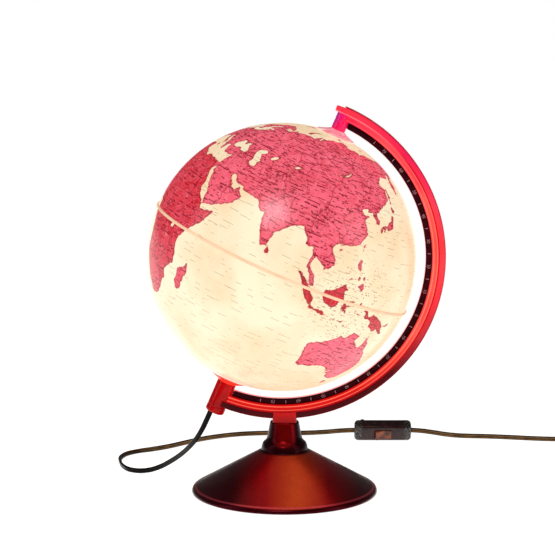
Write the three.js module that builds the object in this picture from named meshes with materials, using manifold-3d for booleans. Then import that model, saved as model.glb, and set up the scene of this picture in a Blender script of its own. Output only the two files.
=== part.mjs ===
// An illuminated desktop globe: a translucent ball turning on a tilted axis between the ends of a
// half-circle meridian arm, a lamp inside it, a conical stand, and a mains lead with an inline switch.
// Millimetres, +Z up. The origin is the centre of the stand's underside and the arm lies in the XZ plane.
import * as THREE from "three";
import { mergeVertices } from "three/addons/utils/BufferGeometryUtils.js";
import { RoundedBoxGeometry } from "three/addons/geometries/RoundedBoxGeometry.js";
import Module from "manifold-3d";

const wasm = await Module();
wasm.setup();

// Driving dimensions
const GAP = 0.3; // between pieces that touch
const TILT = THREE.MathUtils.degToRad(23.5); // of the globe's axis from the vertical
const BALL = new THREE.Vector3(-2.5, 0, 233.5); // ball centre
const BALL_R = 130;
const SHELL = 1.8; // ball wall
const ARM_IN = 139; // inner edge of the arm's web
const ARM_LEDGE = 145.5; // web to body
const ARM_STEP = 152.3; // body to outer flange
const ARM_OUT = 158.3;
const ARM_SEGMENTS = 60;
const WEB_HALF = 2.2; // half widths of the arm's web, body and flange
const BODY_HALF = 7.5;
const FLANGE_HALF = 10.2;
const HUB_R = 9.5; // lamp housing
const HUB_END = -167; // its lower face, along the axis
const NECK_R = 11.5; // neck that the ball turns on
const POST_R = 7; // post under the arm's upper end
const POST_LOW = 134.6; // its ends, along the axis
const POST_HIGH = 151;
const PIN_R = 2.5; // steel pivot pin inside it
const STEM_R = 11.8;
const STEM_BOTTOM = 50.3;
const STEM_TOP = 73; // spigot to saddle
const LAMP_NECK_R = 7.6; // way for the cord through the flange and its neck
const FLANGE_LOW = -134.6; // lower face of the flange
const CORD_D = 5.2; // flat twin cord, its width
const CORD_SIDE = -3.5; // the cord leaves the housing to one side of the axis
const SWITCH = { length: 62, width: 20.5, depth: 15.5, round: 5, wall: 2 };
const SWITCH_AT = new THREE.Vector3(107.6, 220.5, 10.9);
const SWITCH_ROLL = THREE.MathUtils.degToRad(25); // the rocker faces forwards and a little down
const ROCKER_TILT = THREE.MathUtils.degToRad(8); // either side of its middle
const ROCKER_PIVOT = -3.9; // behind the switch's middle plane
const COIL = { x: 345, y: 245.2, turn: 35.2, low: 1.3, turns: 3, layers: 2 };
const PLUG = { x: 381, y: 305, z: 7.1, width: 35, length: 36, thick: 13.8 };

// Routes of the cord's centre line
const CORD_LEAD = [
  [-72.4, 0, 81.4], [-76.4, 0, 72.2], [-80.5, 1.2, 63.4], [-85.5, 5.5, 54], [-91.5, 13.5, 44.8],
  [-98, 24, 36], [-106, 36.5, 26.8], [-115.5, 49.5, 17.8], [-126, 61, 9.8], [-137, 68.5, 4.6],
  [-147.5, 71.5, 2.9], [-157.5, 77, 2.75], [-165.5, 91, 2.75], [-170, 110, 2.75], [-170.5, 131, 2.75],
  [-165, 147, 2.75], [-154.5, 157.5, 2.75], [-140, 166.5, 2.75], [-123, 179.5, 2.75], [-107, 196, 2.75],
  [-90, 213, 2.75], [-70, 227, 2.75], [-48, 237, 2.75], [-20, 242, 2.75], [5, 241, 3],
  [25, 237.5, 4], [45, 231.3, 6.4], [60, 224.4, 9.3], [69, 221.1, 10.6], [75, 220.5, 10.9],
  [80.4, 220.5, 10.9],
];
const CORD_TAIL = [
  [134.8, 220.5, 10.9], [140, 220.5, 10.9], [150, 220.9, 10.1], [163, 222.5, 8], [176, 225, 5.4],
  [189, 227, 3.6], [203, 227.5, 2.85], [222, 226, 2.75], [245, 222, 2.75], [268, 217, 2.75],
  [290, 213, 2.9], [308, 210.8, 3.3], [324.4, 210, 3.8],
];
const CORD_END = [
  [380.2, 266, 8.9], [380.6, 272, 8.3], [380.9, 278, 7.6], [381, 283.7, 7.1],
];

// Materials: colour, roughness, metalness, and opacity for the translucent ones
const finish = (color, roughness, metalness = 0, opacity = 1) => () =>
  new THREE.MeshStandardMaterial({ color, roughness, metalness, opacity, transparent: opacity < 1 });
const ballPlastic = finish(0xfdf0cf, 0.35);
const seamPlastic = finish(0xe9cdb4, 0.4);
const armPlastic = finish(0xd01826, 0.2);
const stripPrint = finish(0x3a0610, 0.45);
const postPlastic = finish(0xd8185c, 0.2);
const paleFlange = finish(0xffb4ba, 0.25);
const housingPlastic = finish(0xc81010, 0.2);
const basePlastic = finish(0x4a060c, 0.15);
const stemPlastic = finish(0x98050c, 0.2);
const steel = finish(0xb8bac0, 0.35, 1);
const castIron = finish(0x50545a, 0.6, 1);
const brass = finish(0xc8a050, 0.3, 1);
const footFoam = finish(0x1c1416, 0.9);
const whitePlastic = finish(0xe8e6df, 0.4);
const lampGlass = finish(0xfff4e0, 0.1, 0, 0.6);
const cordPlastic = finish(0x5c4028, 0.3);
const smokyPlastic = finish(0x241d20, 0.2);
const rockerPlastic = finish(0x2c1710, 0.25);
const clampPlastic = finish(0x8a8890, 0.5);

// Solids and geometries
function solid(geometry) {
  const bare = geometry.index ? geometry.toNonIndexed() : geometry.clone();
  bare.deleteAttribute("normal");
  bare.deleteAttribute("uv");
  const merged = mergeVertices(bare, 1e-3);
  const vertProperties = merged.attributes.position.array;
  const triVerts = new Uint32Array(merged.index.array);
  return new wasm.Manifold(new wasm.Mesh({ numProp: 3, vertProperties, triVerts }));
}

function geometryOf(manifold) {
  const mesh = manifold.getMesh();
  const geometry = new THREE.BufferGeometry();
  geometry.setAttribute("position", new THREE.BufferAttribute(mesh.vertProperties, 3));
  geometry.setIndex(new THREE.BufferAttribute(mesh.triVerts, 1));
  geometry.computeVertexNormals();
  return geometry;
}

function cut(geometry, ...tools) {
  return geometryOf(tools.reduce((left, tool) => left.subtract(solid(tool)), solid(geometry)));
}

function join(geometry, ...more) {
  return geometryOf(more.reduce((sum, next) => sum.add(solid(next)), solid(geometry)));
}

function common(geometry, other) {
  return geometryOf(solid(geometry).intersect(solid(other)));
}

// A closed profile of [radius, height] points, listed anticlockwise, turned about the Y axis.
// Points on the axis close the shape by themselves; any other profile is closed on itself.
function lathe(profile, segments) {
  const points = profile.map(([r, h]) => new THREE.Vector2(r, h));
  const onAxis = points[0].x === 0 && points.at(-1).x === 0;
  if (!onAxis) points.push(points[0].clone());
  return new THREE.LatheGeometry(points, segments);
}

// The same, turned about the Z axis
const turned = (profile, segments = 32) => lathe(profile, segments).rotateX(Math.PI / 2);

const rod = (r, low, high, segments = 24) => turned([[0, low], [r, low], [r, high], [0, high]], segments);

const tube = (inner, outer, low, high, segments = 24) =>
  turned([[inner, low], [outer, low], [outer, high], [inner, high]], segments);

const block = (low, high) => {
  const size = high.map((value, i) => value - low[i]);
  const middle = high.map((value, i) => (value + low[i]) / 2);
  return new THREE.BoxGeometry(...size).translate(...middle);
};

function pipe(route, diameter, steps, sides) {
  const section = new THREE.Shape();
  for (let i = 0; i < sides; i += 1) {
    const angle = (2 * Math.PI * i) / sides;
    const [x, y] = [(diameter / 2) * Math.cos(angle), (diameter / 2) * Math.sin(angle)];
    if (i === 0) section.moveTo(x, y);
    else section.lineTo(x, y);
  }
  const path = new THREE.CatmullRomCurve3(route.map((point) => new THREE.Vector3(...point)));
  return new THREE.ExtrudeGeometry(section, { steps, extrudePath: path });
}

function part(group, name, geometry, material) {
  const mesh = new THREE.Mesh(geometry, material());
  mesh.name = name;
  group.add(mesh);
  return mesh;
}

const globe = new THREE.Group();

// Stand: a thin cone with a rim and a collar, its weight, foot pad and centre screw
function buildStand(stand) {
  const shell = [
    [87.4, 0.6], [91, 0.8], [91.4, 2.6], [90.2, 5], [87.2, 6.6], [27.5, 40.2], [22.9, 43], [22.5, 46.5],
    [21.2, 50], [18.4, 52.4], [16.9, 55.6], [14.2, 70.2], [13.6, 71], [STEM_R + GAP, 71], [STEM_R + GAP, 50],
    [2.4, 50], [2.4, 46.8], [12, 45.8], [21, 40], [84.5, 5], [87.4, 3.2],
  ];
  part(stand, "base_shell", turned(shell, 40), basePlastic);
  part(stand, "base_weight", tube(20, 68, 2.6, 9.5, 32), castIron);
  part(stand, "base_pad", rod(86.8, 0, 2.2, 40), footFoam);
  part(stand, "base_washer", tube(2.3, 6, 45.2, 46.4), steel);
  const screw = [[0, 42], [3.6, 42], [3.6, 44.9], [1.8, 44.9], [1.8, 62], [0, 62]];
  part(stand, "base_screw", turned(screw, 16), steel);
}

// Stem: a rounded saddle around the arm's outer flange, on a spigot that fills the collar
function buildStem(stand) {
  const top = BALL.z - ARM_STEP + 1.2;
  const low = 67;
  const rounded = new RoundedBoxGeometry(23.6, 24.6, top - low, 2, 4).translate(0, 0, (top + low) / 2);
  const saddle = cut(rounded, block([-20, -20, 60], [20, 20, 71.4]));
  const [step, out, half] = [ARM_STEP - GAP, ARM_OUT + GAP, FLANGE_HALF + GAP];
  const channel = [
    [100, -30], [step, -30], [step, -half], [out, -half], [out, half], [step, half], [step, 30], [100, 30],
  ];
  const armSpace = lathe(channel, 144).translate(BALL.x, BALL.y, BALL.z);
  const screwHole = rod(2.1, 50, 63, 16);
  const stem = cut(join(saddle, rod(STEM_R, STEM_BOTTOM, STEM_TOP)), armSpace, screwHole);
  part(stand, "arm_stem", stem, stemPlastic);
}

// Meridian arm: a stepped half ring about the ball, from the post over the top to the lamp housing
function buildArm(axis) {
  const half = [
    [ARM_IN, WEB_HALF], [ARM_LEDGE, WEB_HALF], [ARM_LEDGE, BODY_HALF], [ARM_STEP, BODY_HALF],
    [ARM_STEP, FLANGE_HALF], [ARM_OUT - 1, FLANGE_HALF], [ARM_OUT, FLANGE_HALF - 1],
  ];
  const mirrored = half.map(([r, y]) => [r, -y]);
  const ring = lathe([...mirrored, ...half.reverse()], ARM_SEGMENTS);
  const side = block([3, -20, -170], [170, 20, 170]);
  const roundEnd = rod(FLANGE_HALF, ARM_LEDGE, 156.4, 24);
  const ribStart = block([-2, -20, 140], [12, 20, 170]);
  const keep = join(side, roundEnd, ribStart);
  const postSpace = rod(POST_R + GAP, 120, POST_HIGH + GAP);
  const behindPost = block([-20, -20, 120], [0, 20, POST_HIGH + GAP]);
  const hubSpace = rod(HUB_R + GAP, -180, -120, 32);
  const pinSpace = rod(PIN_R + 0.4, 150, 154.5, 16);
  const arm = cut(common(ring, keep), postSpace, behindPost, hubSpace, pinSpace);
  part(axis, "meridian_arm", arm, armPlastic);
  const limits = block([POST_R + 0.6, -20, -170], [170, 20, 170]);
  const hubClear = rod(HUB_R + 1.5, -180, -120, 32);
  for (const [name, sign] of [["scale_front", -1], ["scale_back", 1]]) {
    const [inner, outer] = [ARM_IN + 0.3, ARM_LEDGE - GAP];
    const near = sign * (WEB_HALF + GAP);
    const far = near + sign * 0.7;
    const profile = [[inner, near], [outer, near], [outer, far], [inner, far]];
    const strip = lathe(sign < 0 ? profile.reverse() : profile, ARM_SEGMENTS);
    part(axis, name, cut(common(strip, limits), hubClear), stripPrint);
  }
}

// Upper pivot: post and pin on the arm
function buildNorthPivot(axis) {
  part(axis, "north_post", tube(PIN_R + GAP, POST_R, POST_LOW, POST_HIGH), postPlastic);
  part(axis, "north_pin", rod(PIN_R, 124, 154, 16), steel);
}

// Height of the ball's surface, grown by more, at a radius from the axis
const onBall = (r, more) => Math.sqrt((BALL_R + more) ** 2 - r ** 2);

// Lamp unit: flared flange with the neck, housing with the cord hole, lamp holder and lamp
function buildLamp(axis) {
  const flange = [
    [LAMP_NECK_R, FLANGE_LOW], [HUB_R, FLANGE_LOW], [12.5, -133], [19.5, -onBall(19.5, 1.2)],
    [19.5, -onBall(19.5, 0.6)], [NECK_R, -onBall(NECK_R, 0.6)], [NECK_R, -121], [LAMP_NECK_R, -121],
  ];
  part(axis, "south_flange", turned(flange, 28), housingPlastic);
  const [housingTop, housingInner, housingFloor] = [FLANGE_LOW - GAP, 7.5, HUB_END + 2.4];
  const housing = [
    [0, HUB_END], [HUB_R - 1.4, HUB_END], [HUB_R, HUB_END + 1.4], [HUB_R, housingTop],
    [housingInner, housingTop], [housingInner, housingFloor], [0, housingFloor],
  ];
  const cordHole = rod(CORD_D / 2 + 0.4, HUB_END - 1, HUB_END + 4, 16).translate(CORD_SIDE, 0, 0);
  part(axis, "lamp_housing", cut(turned(housing, 32), cordHole), housingPlastic);
  const grip = tube(CORD_D / 2 + 0.2, 3.7, -163, -156, 16).translate(CORD_SIDE, 0, 0);
  part(axis, "cord_grip", grip, whitePlastic);
  const innerRoute = [
    [CORD_SIDE, 0, -166.6], [CORD_SIDE, 0, -158], [CORD_SIDE + 0.2, 0, -152], [-1, 0, -142],
    [0, 0, -133], [0, 0, -121.6],
  ];
  part(axis, "cord_inner", pipe(innerRoute, CORD_D - 0.6, 10, 8), cordPlastic);
  const holder = [
    [2.6, -120.7], [NECK_R, -120.7], [NECK_R, -90], [10.4, -88], [8.3, -88], [8.3, -112.4], [2.6, -112.4],
  ];
  part(axis, "lamp_holder", turned(holder, 20), whitePlastic);
  part(axis, "socket_shell", tube(7.1, 7.9, -110.6, -90, 20), brass);
  part(axis, "socket_contact", rod(4.6, -112, -111, 16), brass);
  const cap = [[0, -110.6], [3, -110.6], [4.4, -108.6], [6.6, -107], [6.6, -86], [0, -86]];
  part(axis, "bulb_cap", turned(cap, 16), steel);
  const outer = [[5.9, -85.7], [9.4, -77], [13, -66], [14, -55], [13, -45], [9, -38.2], [0, -35]];
  const within = [
    [0, -36], [8.4, -39.1], [12.1, -45.5], [13.1, -55], [12.1, -65.8], [8.6, -76.6], [5.1, -85.7],
  ];
  part(axis, "bulb_glass", turned([...outer, ...within], 16), lampGlass);
}

// Ball: two hemispheres on a seam band, with the upper cap and the lower bearing ring
function buildBall(axis) {
  const seam = 1; // half the space between the two rims
  const ringR = 17; // lower opening
  const rows = 7;
  const arc = (radius, from, to) =>
    Array.from({ length: rows + 1 }, (_, i) => {
      const angle = from + ((to - from) * i) / rows;
      return [radius * Math.cos(angle), radius * Math.sin(angle)];
    });
  const hemisphere = (opening) => {
    const [outer, inner] = [BALL_R, BALL_R - SHELL];
    const outerWall = arc(outer, Math.asin(seam / outer), Math.acos(opening / outer));
    const innerWall = arc(inner, Math.acos(opening / inner), Math.asin(seam / inner));
    return turned([...outerWall, ...innerWall], 36);
  };
  part(axis, "hemisphere_north", hemisphere(3.6), ballPlastic);
  part(axis, "hemisphere_south", hemisphere(ringR).rotateX(Math.PI), ballPlastic);
  const inside = BALL_R - SHELL;
  const over = BALL_R + GAP;
  const proud = BALL_R + 1.4;
  const band = [
    [inside, -0.7], [over, -0.7], [over, -1.6], [proud, -1.1],
    [proud, 1.1], [over, 1.6], [over, 0.7], [inside, 0.7],
  ];
  part(axis, "equator_band", turned(band, 36), seamPlastic);
  const cap = [
    [2.9, onBall(2.9, GAP)], [10, onBall(10, GAP)], [19, onBall(19, GAP)], [19.3, onBall(19.3, 1.1)],
    [15, 131.1], [11, 132.5], [8.6, 133.7], [8, POST_LOW - GAP], [2.9, POST_LOW - GAP],
  ];
  part(axis, "north_flange", turned(cap, 28), paleFlange);
  const bore = NECK_R + 0.6;
  const bearing = [
    [bore, -129], [ringR - GAP, -128.9], [ringR - GAP, -126.7], [20, -126.2], [20, -123], [bore, -123],
  ];
  part(axis, "south_ring", turned(bearing, 28), whitePlastic);
}

// Inline switch: X along the cord, -Y the rocker's face, Z across
function buildSwitch(body) {
  const { length, width, depth, round, wall } = SWITCH;
  const outside = new RoundedBoxGeometry(length, depth, width, 2, round);
  const hollow = block(
    [wall - length / 2, wall - depth / 2, wall - width / 2],
    [length / 2 - wall, depth / 2 - wall, width / 2 - wall],
  );
  const cordWay = rod(CORD_D / 2 + 0.6, -length, length, 12).rotateY(Math.PI / 2);
  const window = block([-9.6, -20, -5.8], [9.6, 0, 5.8]);
  const front = block([-50, -20, -20], [50, -0.15, 20]);
  const back = block([-50, 0.15, -20], [50, 20, 20]);
  const screws = [[-22, 6.1], [22, -6.1]];
  const bosses = screws.map(([x, z]) => rod(2.2, 0, 6.6, 12).rotateX(Math.PI / 2).translate(x, -0.2, z));
  const holes = screws.map(([x, z]) => rod(1.5, -20, 5, 12).rotateX(Math.PI / 2).translate(x, 0, z));
  const frontShell = join(cut(common(outside, front), hollow), ...bosses);
  part(body, "switch_front", cut(frontShell, cordWay, window, ...holes), smokyPlastic);
  part(body, "switch_back", cut(common(outside, back), hollow, cordWay, ...holes), smokyPlastic);
  screws.forEach(([x, z], i) => {
    const profile = [[0, -8.8], [2.4, -8.8], [2.4, -8.05], [1.2, -8.05], [1.2, 4.4], [0, 4.4]];
    const screw = turned(profile, 12).rotateX(Math.PI / 2).translate(x, 0, z);
    part(body, "switch_screw_" + (i + 1), screw, steel);
    const side = Math.sign(x);
    const clamp = block([-2.5, CORD_D / 2 + 0.3, -4.2], [2.5, 5.4, 4.2]).translate(side * 26, 0, 0);
    part(body, "switch_clamp_" + (i + 1), clamp, clampPlastic);
    const contact = block([-4.5, 2.4, -3], [4.5, 3.2, 3]).translate(side * 10, 0, 0);
    part(body, "switch_contact_" + (i + 1), contact, brass);
  });
  const profile = new THREE.Shape();
  profile.moveTo(-8.6, -3.2);
  profile.lineTo(-8.6, -9.6);
  profile.quadraticCurveTo(-8.2, -10.4, -6.6, -10);
  profile.quadraticCurveTo(0, -8, 6.6, -10);
  profile.quadraticCurveTo(8.2, -10.4, 8.6, -9.6);
  profile.lineTo(8.6, -3.2);
  const key = new THREE.ExtrudeGeometry(profile, { depth: 10.8, bevelEnabled: false, curveSegments: 4 });
  const geometry = join(key.translate(0, -ROCKER_PIVOT, -5.4), rod(1.5, -8, 8, 12));
  const rocker = part(body, "switch_rocker", geometry, rockerPlastic);
  rocker.position.y = ROCKER_PIVOT;
  rocker.rotation.z = ROCKER_TILT;
}

// The stored length wound up beside the way the cord goes, its tie, and the plug on the cord's end
function buildCoilAndPlug(body) {
  const { x, y, turn, low, turns, layers } = COIL;
  const outer = turn + CORD_D / 2 + GAP;
  const inner = outer - turns * CORD_D - 2 * GAP;
  const high = low + layers * CORD_D + GAP;
  part(body, "cord_coil", tube(inner, outer, low, high, 40).translate(x, y, 0), cordPlastic);
  const loop = cut(
    block([inner - 1.4, -2.5, 0.1], [outer + 1.4, 2.5, high + 1.2]),
    block([inner - GAP, -4, low - GAP], [outer + GAP, 4, high + GAP]),
  );
  part(body, "cord_tie", loop.rotateZ((3 * Math.PI) / 4).translate(x, y, 0), whitePlastic);
  const outline = new THREE.Shape();
  const half = PLUG.width / 2;
  outline.moveTo(-5, -PLUG.length / 2);
  outline.lineTo(5, -PLUG.length / 2);
  outline.quadraticCurveTo(8, -4, half, 2);
  outline.lineTo(half, PLUG.length / 2);
  outline.lineTo(-half, PLUG.length / 2);
  outline.lineTo(-half, 2);
  outline.quadraticCurveTo(-8, -4, -5, -PLUG.length / 2);
  const bevel = 1.5;
  const moulding = new THREE.ExtrudeGeometry(outline, {
    depth: PLUG.thick - 2 * bevel, bevelThickness: bevel, bevelSize: 1.2, bevelSegments: 2, curveSegments: 6,
  }).translate(0, 0, bevel - PLUG.thick / 2);
  const relief = new THREE.CylinderGeometry(5.4, 3.6, 8, 16).translate(0, -PLUG.length / 2 - 3, 0);
  const cordEntry = new THREE.CylinderGeometry(2.9, 2.9, 6, 12).translate(0, -PLUG.length / 2 - 6, 0);
  const plug = new THREE.Group();
  plug.position.set(PLUG.x, PLUG.y, PLUG.z);
  body.add(plug);
  const pins = [-9.3, 9.3];
  const holeAt = (at) => new THREE.CylinderGeometry(2.3, 2.3, 16, 12).translate(at, PLUG.length / 2, 0);
  part(plug, "plug_body", cut(join(moulding, relief), cordEntry, ...pins.map(holeAt)), smokyPlastic);
  pins.forEach((at, i) => {
    const pin = new THREE.CapsuleGeometry(2, 22, 3, 12).translate(at, PLUG.length / 2 + 7, 0);
    part(plug, "plug_pin_" + (i + 1), pin, brass);
  });
}

buildStand(globe);
buildStem(globe);

const axis = new THREE.Group();
axis.position.copy(BALL);
axis.rotation.y = TILT;
globe.add(axis);
buildArm(axis);
buildNorthPivot(axis);
buildLamp(axis);
buildBall(axis);

const switchBody = new THREE.Group();
switchBody.position.copy(SWITCH_AT);
switchBody.rotation.x = SWITCH_ROLL;
globe.add(switchBody);
buildSwitch(switchBody);

part(globe, "cord_lead", pipe(CORD_LEAD, CORD_D, 42, 8), cordPlastic);
part(globe, "cord_tail", pipe(CORD_TAIL, CORD_D, 16, 8), cordPlastic);
part(globe, "cord_end", pipe(CORD_END, CORD_D, 3, 8), cordPlastic);
buildCoilAndPlug(globe);

export default globe;
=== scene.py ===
"""Looks of an illuminated desktop globe: a map ball on a tilted axis in a stepped half-circle arm,
a conical stand, and a flat twin lead with an inline switch, a wound-up length and a plug."""

import math

import bmesh
import bpy
import numpy as np
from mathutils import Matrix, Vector


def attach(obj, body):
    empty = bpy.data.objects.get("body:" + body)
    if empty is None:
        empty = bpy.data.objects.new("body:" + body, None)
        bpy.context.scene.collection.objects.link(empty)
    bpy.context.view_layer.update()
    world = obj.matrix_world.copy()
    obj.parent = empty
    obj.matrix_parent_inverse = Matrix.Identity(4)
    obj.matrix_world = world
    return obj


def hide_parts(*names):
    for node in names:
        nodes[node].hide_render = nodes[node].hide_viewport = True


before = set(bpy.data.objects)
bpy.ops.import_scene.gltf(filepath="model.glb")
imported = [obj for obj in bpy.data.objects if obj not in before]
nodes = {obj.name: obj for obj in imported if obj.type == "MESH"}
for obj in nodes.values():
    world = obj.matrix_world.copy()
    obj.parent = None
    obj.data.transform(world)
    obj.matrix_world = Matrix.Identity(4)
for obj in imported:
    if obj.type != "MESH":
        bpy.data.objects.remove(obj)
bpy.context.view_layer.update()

MM = 0.001
TILT = math.radians(23.5)
BALL = np.array([-2.5, 0.0, 233.5])
BALL_R = 130.0
SHELL = 1.8
CENTRE_LONGITUDE = 91.0
NORTH_OPENING = 3.6
SOUTH_OPENING = 17.0
SHARP = 38.0
WELD = 1e-6

# The axis group's frame: local Z is the globe's axis, local X points at the middle of the arm
AXIS_TURN = np.array([
    [math.cos(TILT), 0, math.sin(TILT)],
    [0, 1, 0],
    [-math.sin(TILT), 0, math.cos(TILT)],
])

scene = bpy.context.scene


# Camera
LENS = 136.74
CAMERA_AT = (-0.0069, -2.023, 0.5285)
LOOKS_DOWN = 8.85


def make_camera():
    data = bpy.data.cameras.new("camera")
    data.lens = LENS
    data.sensor_width = 36
    camera = bpy.data.objects.new("camera", data)
    camera.location = CAMERA_AT
    camera.rotation_euler = (math.radians(90 - LOOKS_DOWN), 0, 0)
    scene.collection.objects.link(camera)
    scene.camera = camera


make_camera()


# Materials
class Graph:
    """A material's nodes: each call adds one and returns its first output, or the one that is asked for."""

    def __init__(self, name):
        self.material = bpy.data.materials.new(name)
        self.material.use_nodes = True
        self.tree = self.material.node_tree
        self.tree.nodes.clear()

    def put(self, socket, value):
        if isinstance(value, bpy.types.NodeSocket):
            self.tree.links.new(value, socket)
        else:
            socket.default_value = value

    def add(self, kind, sockets=(), output=0, **settings):
        node = self.tree.nodes.new(kind)
        for key, value in settings.items():
            setattr(node, key, value)
        for key, value in dict(sockets).items():
            self.put(node.inputs[key], value)
        return node.outputs[output]

    def math(self, operation, a, b=0.0, clamp=False):
        return self.add("ShaderNodeMath", {0: a, 1: b}, operation=operation, use_clamp=clamp)

    def vector(self, operation, a, b=(0, 0, 0)):
        return self.add("ShaderNodeVectorMath", {0: a, 1: b}, operation=operation)

    def band(self, value, low, high, to_low=0.0, to_high=1.0):
        """value from low to high, mapped to to_low to to_high and held there."""
        sockets = {"Value": value, "From Min": low, "From Max": high, "To Min": to_low, "To Max": to_high}
        return self.add("ShaderNodeMapRange", sockets)

    def mix(self, share, a, b):
        node = self.tree.nodes.new("ShaderNodeMix")
        node.data_type = "RGBA"
        self.put(node.inputs[0], share)
        self.put(node.inputs[6], a)
        self.put(node.inputs[7], b)
        return node.outputs[2]

    def noise(self, where, scale, detail=3.0, roughness=0.55):
        sockets = {"Vector": where, "Scale": scale, "Detail": detail, "Roughness": roughness}
        return self.add("ShaderNodeTexNoise", sockets)

    def voronoi(self, where, scale, output, **settings):
        return self.add("ShaderNodeTexVoronoi", {"Vector": where, "Scale": scale}, output, **settings)

    def attribute(self, name, output):
        return self.add("ShaderNodeAttribute", output=output, attribute_name=name)

    def place(self):
        return self.add("ShaderNodeTexCoord", output="Object")

    def parts(self, value, kind="ShaderNodeSeparateXYZ"):
        """The three outputs of a vector, or of a colour."""
        node = self.tree.nodes.new(kind)
        self.tree.links.new(value, node.inputs[0])
        return tuple(node.outputs)[:3]

    def far_from(self, value, middle):
        return self.math("ABSOLUTE", self.math("SUBTRACT", value, middle))

    def bump(self, height, strength, distance=0.0005):
        return self.add("ShaderNodeBump", {"Height": height, "Strength": strength, "Distance": distance})

    def finish(self, sockets):
        shader = self.add("ShaderNodeBsdfPrincipled", sockets)
        out = self.tree.nodes.new("ShaderNodeOutputMaterial")
        self.tree.links.new(shader, out.inputs["Surface"])
        return self.material

    def lit_through(self, where, cloudy, colour, strength, gloss, more=()):
        """Clear plastic with a painted glow in its own colour, standing in for light from the globe, with
        uneven gloss and a fine relief.
        """
        sockets = {
            "Base Color": colour,
            # Painted glow: emission in the plastic's own colour, though the part is no lamp
            "Emission Color": colour,
            "Emission Strength": strength,
            "Roughness": self.band(cloudy, 0.3, 0.7, *gloss),
            "Normal": self.bump(self.noise(where, 500.0), 0.02),
        }
        sockets.update(more)
        return self.finish(sockets)


def linear(code, alpha=1.0):
    """A colour written as RRGGBB, in linear light."""
    values = [int(code[i:i + 2], 16) / 255 for i in (0, 2, 4)]
    return (*[v / 12.92 if v <= 0.04045 else ((v + 0.055) / 1.055) ** 2.4 for v in values], alpha)


def moulded(name, dark, light, rough, grain=60.0, relief=0.08, **more):
    """A moulded or worked surface: two close tones, uneven gloss, and a fine relief."""
    g = Graph(name)
    where = g.place()
    tone = g.noise(where, grain)
    fine = g.noise(where, grain * 14, 2.0)
    sockets = {
        "Base Color": g.mix(g.band(tone, 0.35, 0.65), linear(dark), linear(light)),
        "Roughness": g.band(fine, 0.3, 0.7, rough * 0.8, min(1.0, rough * 1.25)),
        "Normal": g.bump(fine, relief),
    }
    sockets.update({key.replace("_", " "): value for key, value in more.items()})
    return g.finish(sockets)


def brushed(name, dark, light, rough):
    """Turned or drawn metal: fine streaks round the piece."""
    g = Graph(name)
    streaks = g.noise(g.vector("MULTIPLY", g.place(), (40, 40, 900)), 6.0, 2.0)
    return g.finish({
        "Base Color": g.mix(g.band(streaks, 0.3, 0.7), linear(dark), linear(light)),
        "Metallic": 1.0,
        "Roughness": g.band(streaks, 0.3, 0.7, rough * 0.7, rough * 1.4),
        "Normal": g.bump(streaks, 0.1),
    })


# Mesh building
def grid_faces(rows, columns, wrap_rows=True):
    """Quads over rings of points, numbered ring by ring; the last ring joins the first if it wraps."""
    i, j = np.meshgrid(np.arange(rows if wrap_rows else rows - 1), np.arange(columns), indexing="ij")
    after_i, after_j = (i + 1) % rows, (j + 1) % columns
    quads = [i * columns + j, after_i * columns + j, after_i * columns + after_j, i * columns + after_j]
    return np.stack(quads, -1).reshape(-1, 4).tolist()


def tube_faces(rows, columns):
    """Faces over a tube of rings, with a cap at each end."""
    last = (rows - 1) * columns
    caps = [list(range(columns)), [last + j for j in reversed(range(columns))]]
    return grid_faces(rows, columns, wrap_rows=False) + caps


def dressed(made, finish, body, stands_for=(), sharp=SHARP):
    """The finish, smooth shading, body and slot of a piece, and the solids it stands for."""
    made.data.materials.clear()
    made.data.materials.append(finish)
    made.data.shade_smooth()
    made.data.set_sharp_from_angle(angle=math.radians(sharp))
    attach(made, body)
    if stands_for:
        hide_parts(*stands_for)
    return made


def loose(name, points, faces, weld=True, trim=False):
    """A mesh object with no looks yet, to dress, to carve, or to carve with."""
    data = bpy.data.meshes.new(name)
    data.from_pydata(np.asarray(points).reshape(-1, 3).tolist(), [], faces)
    if weld:
        work = bmesh.new()
        work.from_mesh(data)
        bmesh.ops.remove_doubles(work, verts=work.verts, dist=WELD)
        if trim:
            bmesh.ops.dissolve_degenerate(work, edges=work.edges, dist=WELD / 10)
        work.to_mesh(data)
        work.free()
    made = bpy.data.objects.new(name, data)
    scene.collection.objects.link(made)
    return made


def piece(name, points, faces, finish, body, stands_for=(), sharp=SHARP, weld=True):
    """A named piece from points in metres in the row frame, riding on its body."""
    made = loose(name, points, faces, weld, trim=True)
    return dressed(made, finish, body, stands_for, sharp)


def point_values(made, name, kind, values):
    """A value for each point of a piece, for its finish to read."""
    layer = made.data.attributes.new(name, kind, "POINT")
    field = "vector" if kind == "FLOAT_VECTOR" else "value"
    layer.data.foreach_set(field, np.asarray(values, np.float32).ravel())


def carved(shape, operation, *tools):
    """shape cut by, joined with or limited to other closed meshes, which go away."""
    for tool in tools:
        step = shape.modifiers.new("step", "BOOLEAN")
        step.operation, step.solver, step.object = operation, "EXACT", tool
        bpy.context.view_layer.update()
        result = bpy.data.meshes.new_from_object(shape.evaluated_get(bpy.context.evaluated_depsgraph_get()))
        shape.modifiers.clear()
        result.name = shape.name
        shape.data = result
        bpy.data.objects.remove(tool)


def capped(rings):
    """Points and faces of a closed skin over stacked rings that run anticlockwise seen from above."""
    return rings, [face[::-1] for face in tube_faces(*rings.shape[:2])]


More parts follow.
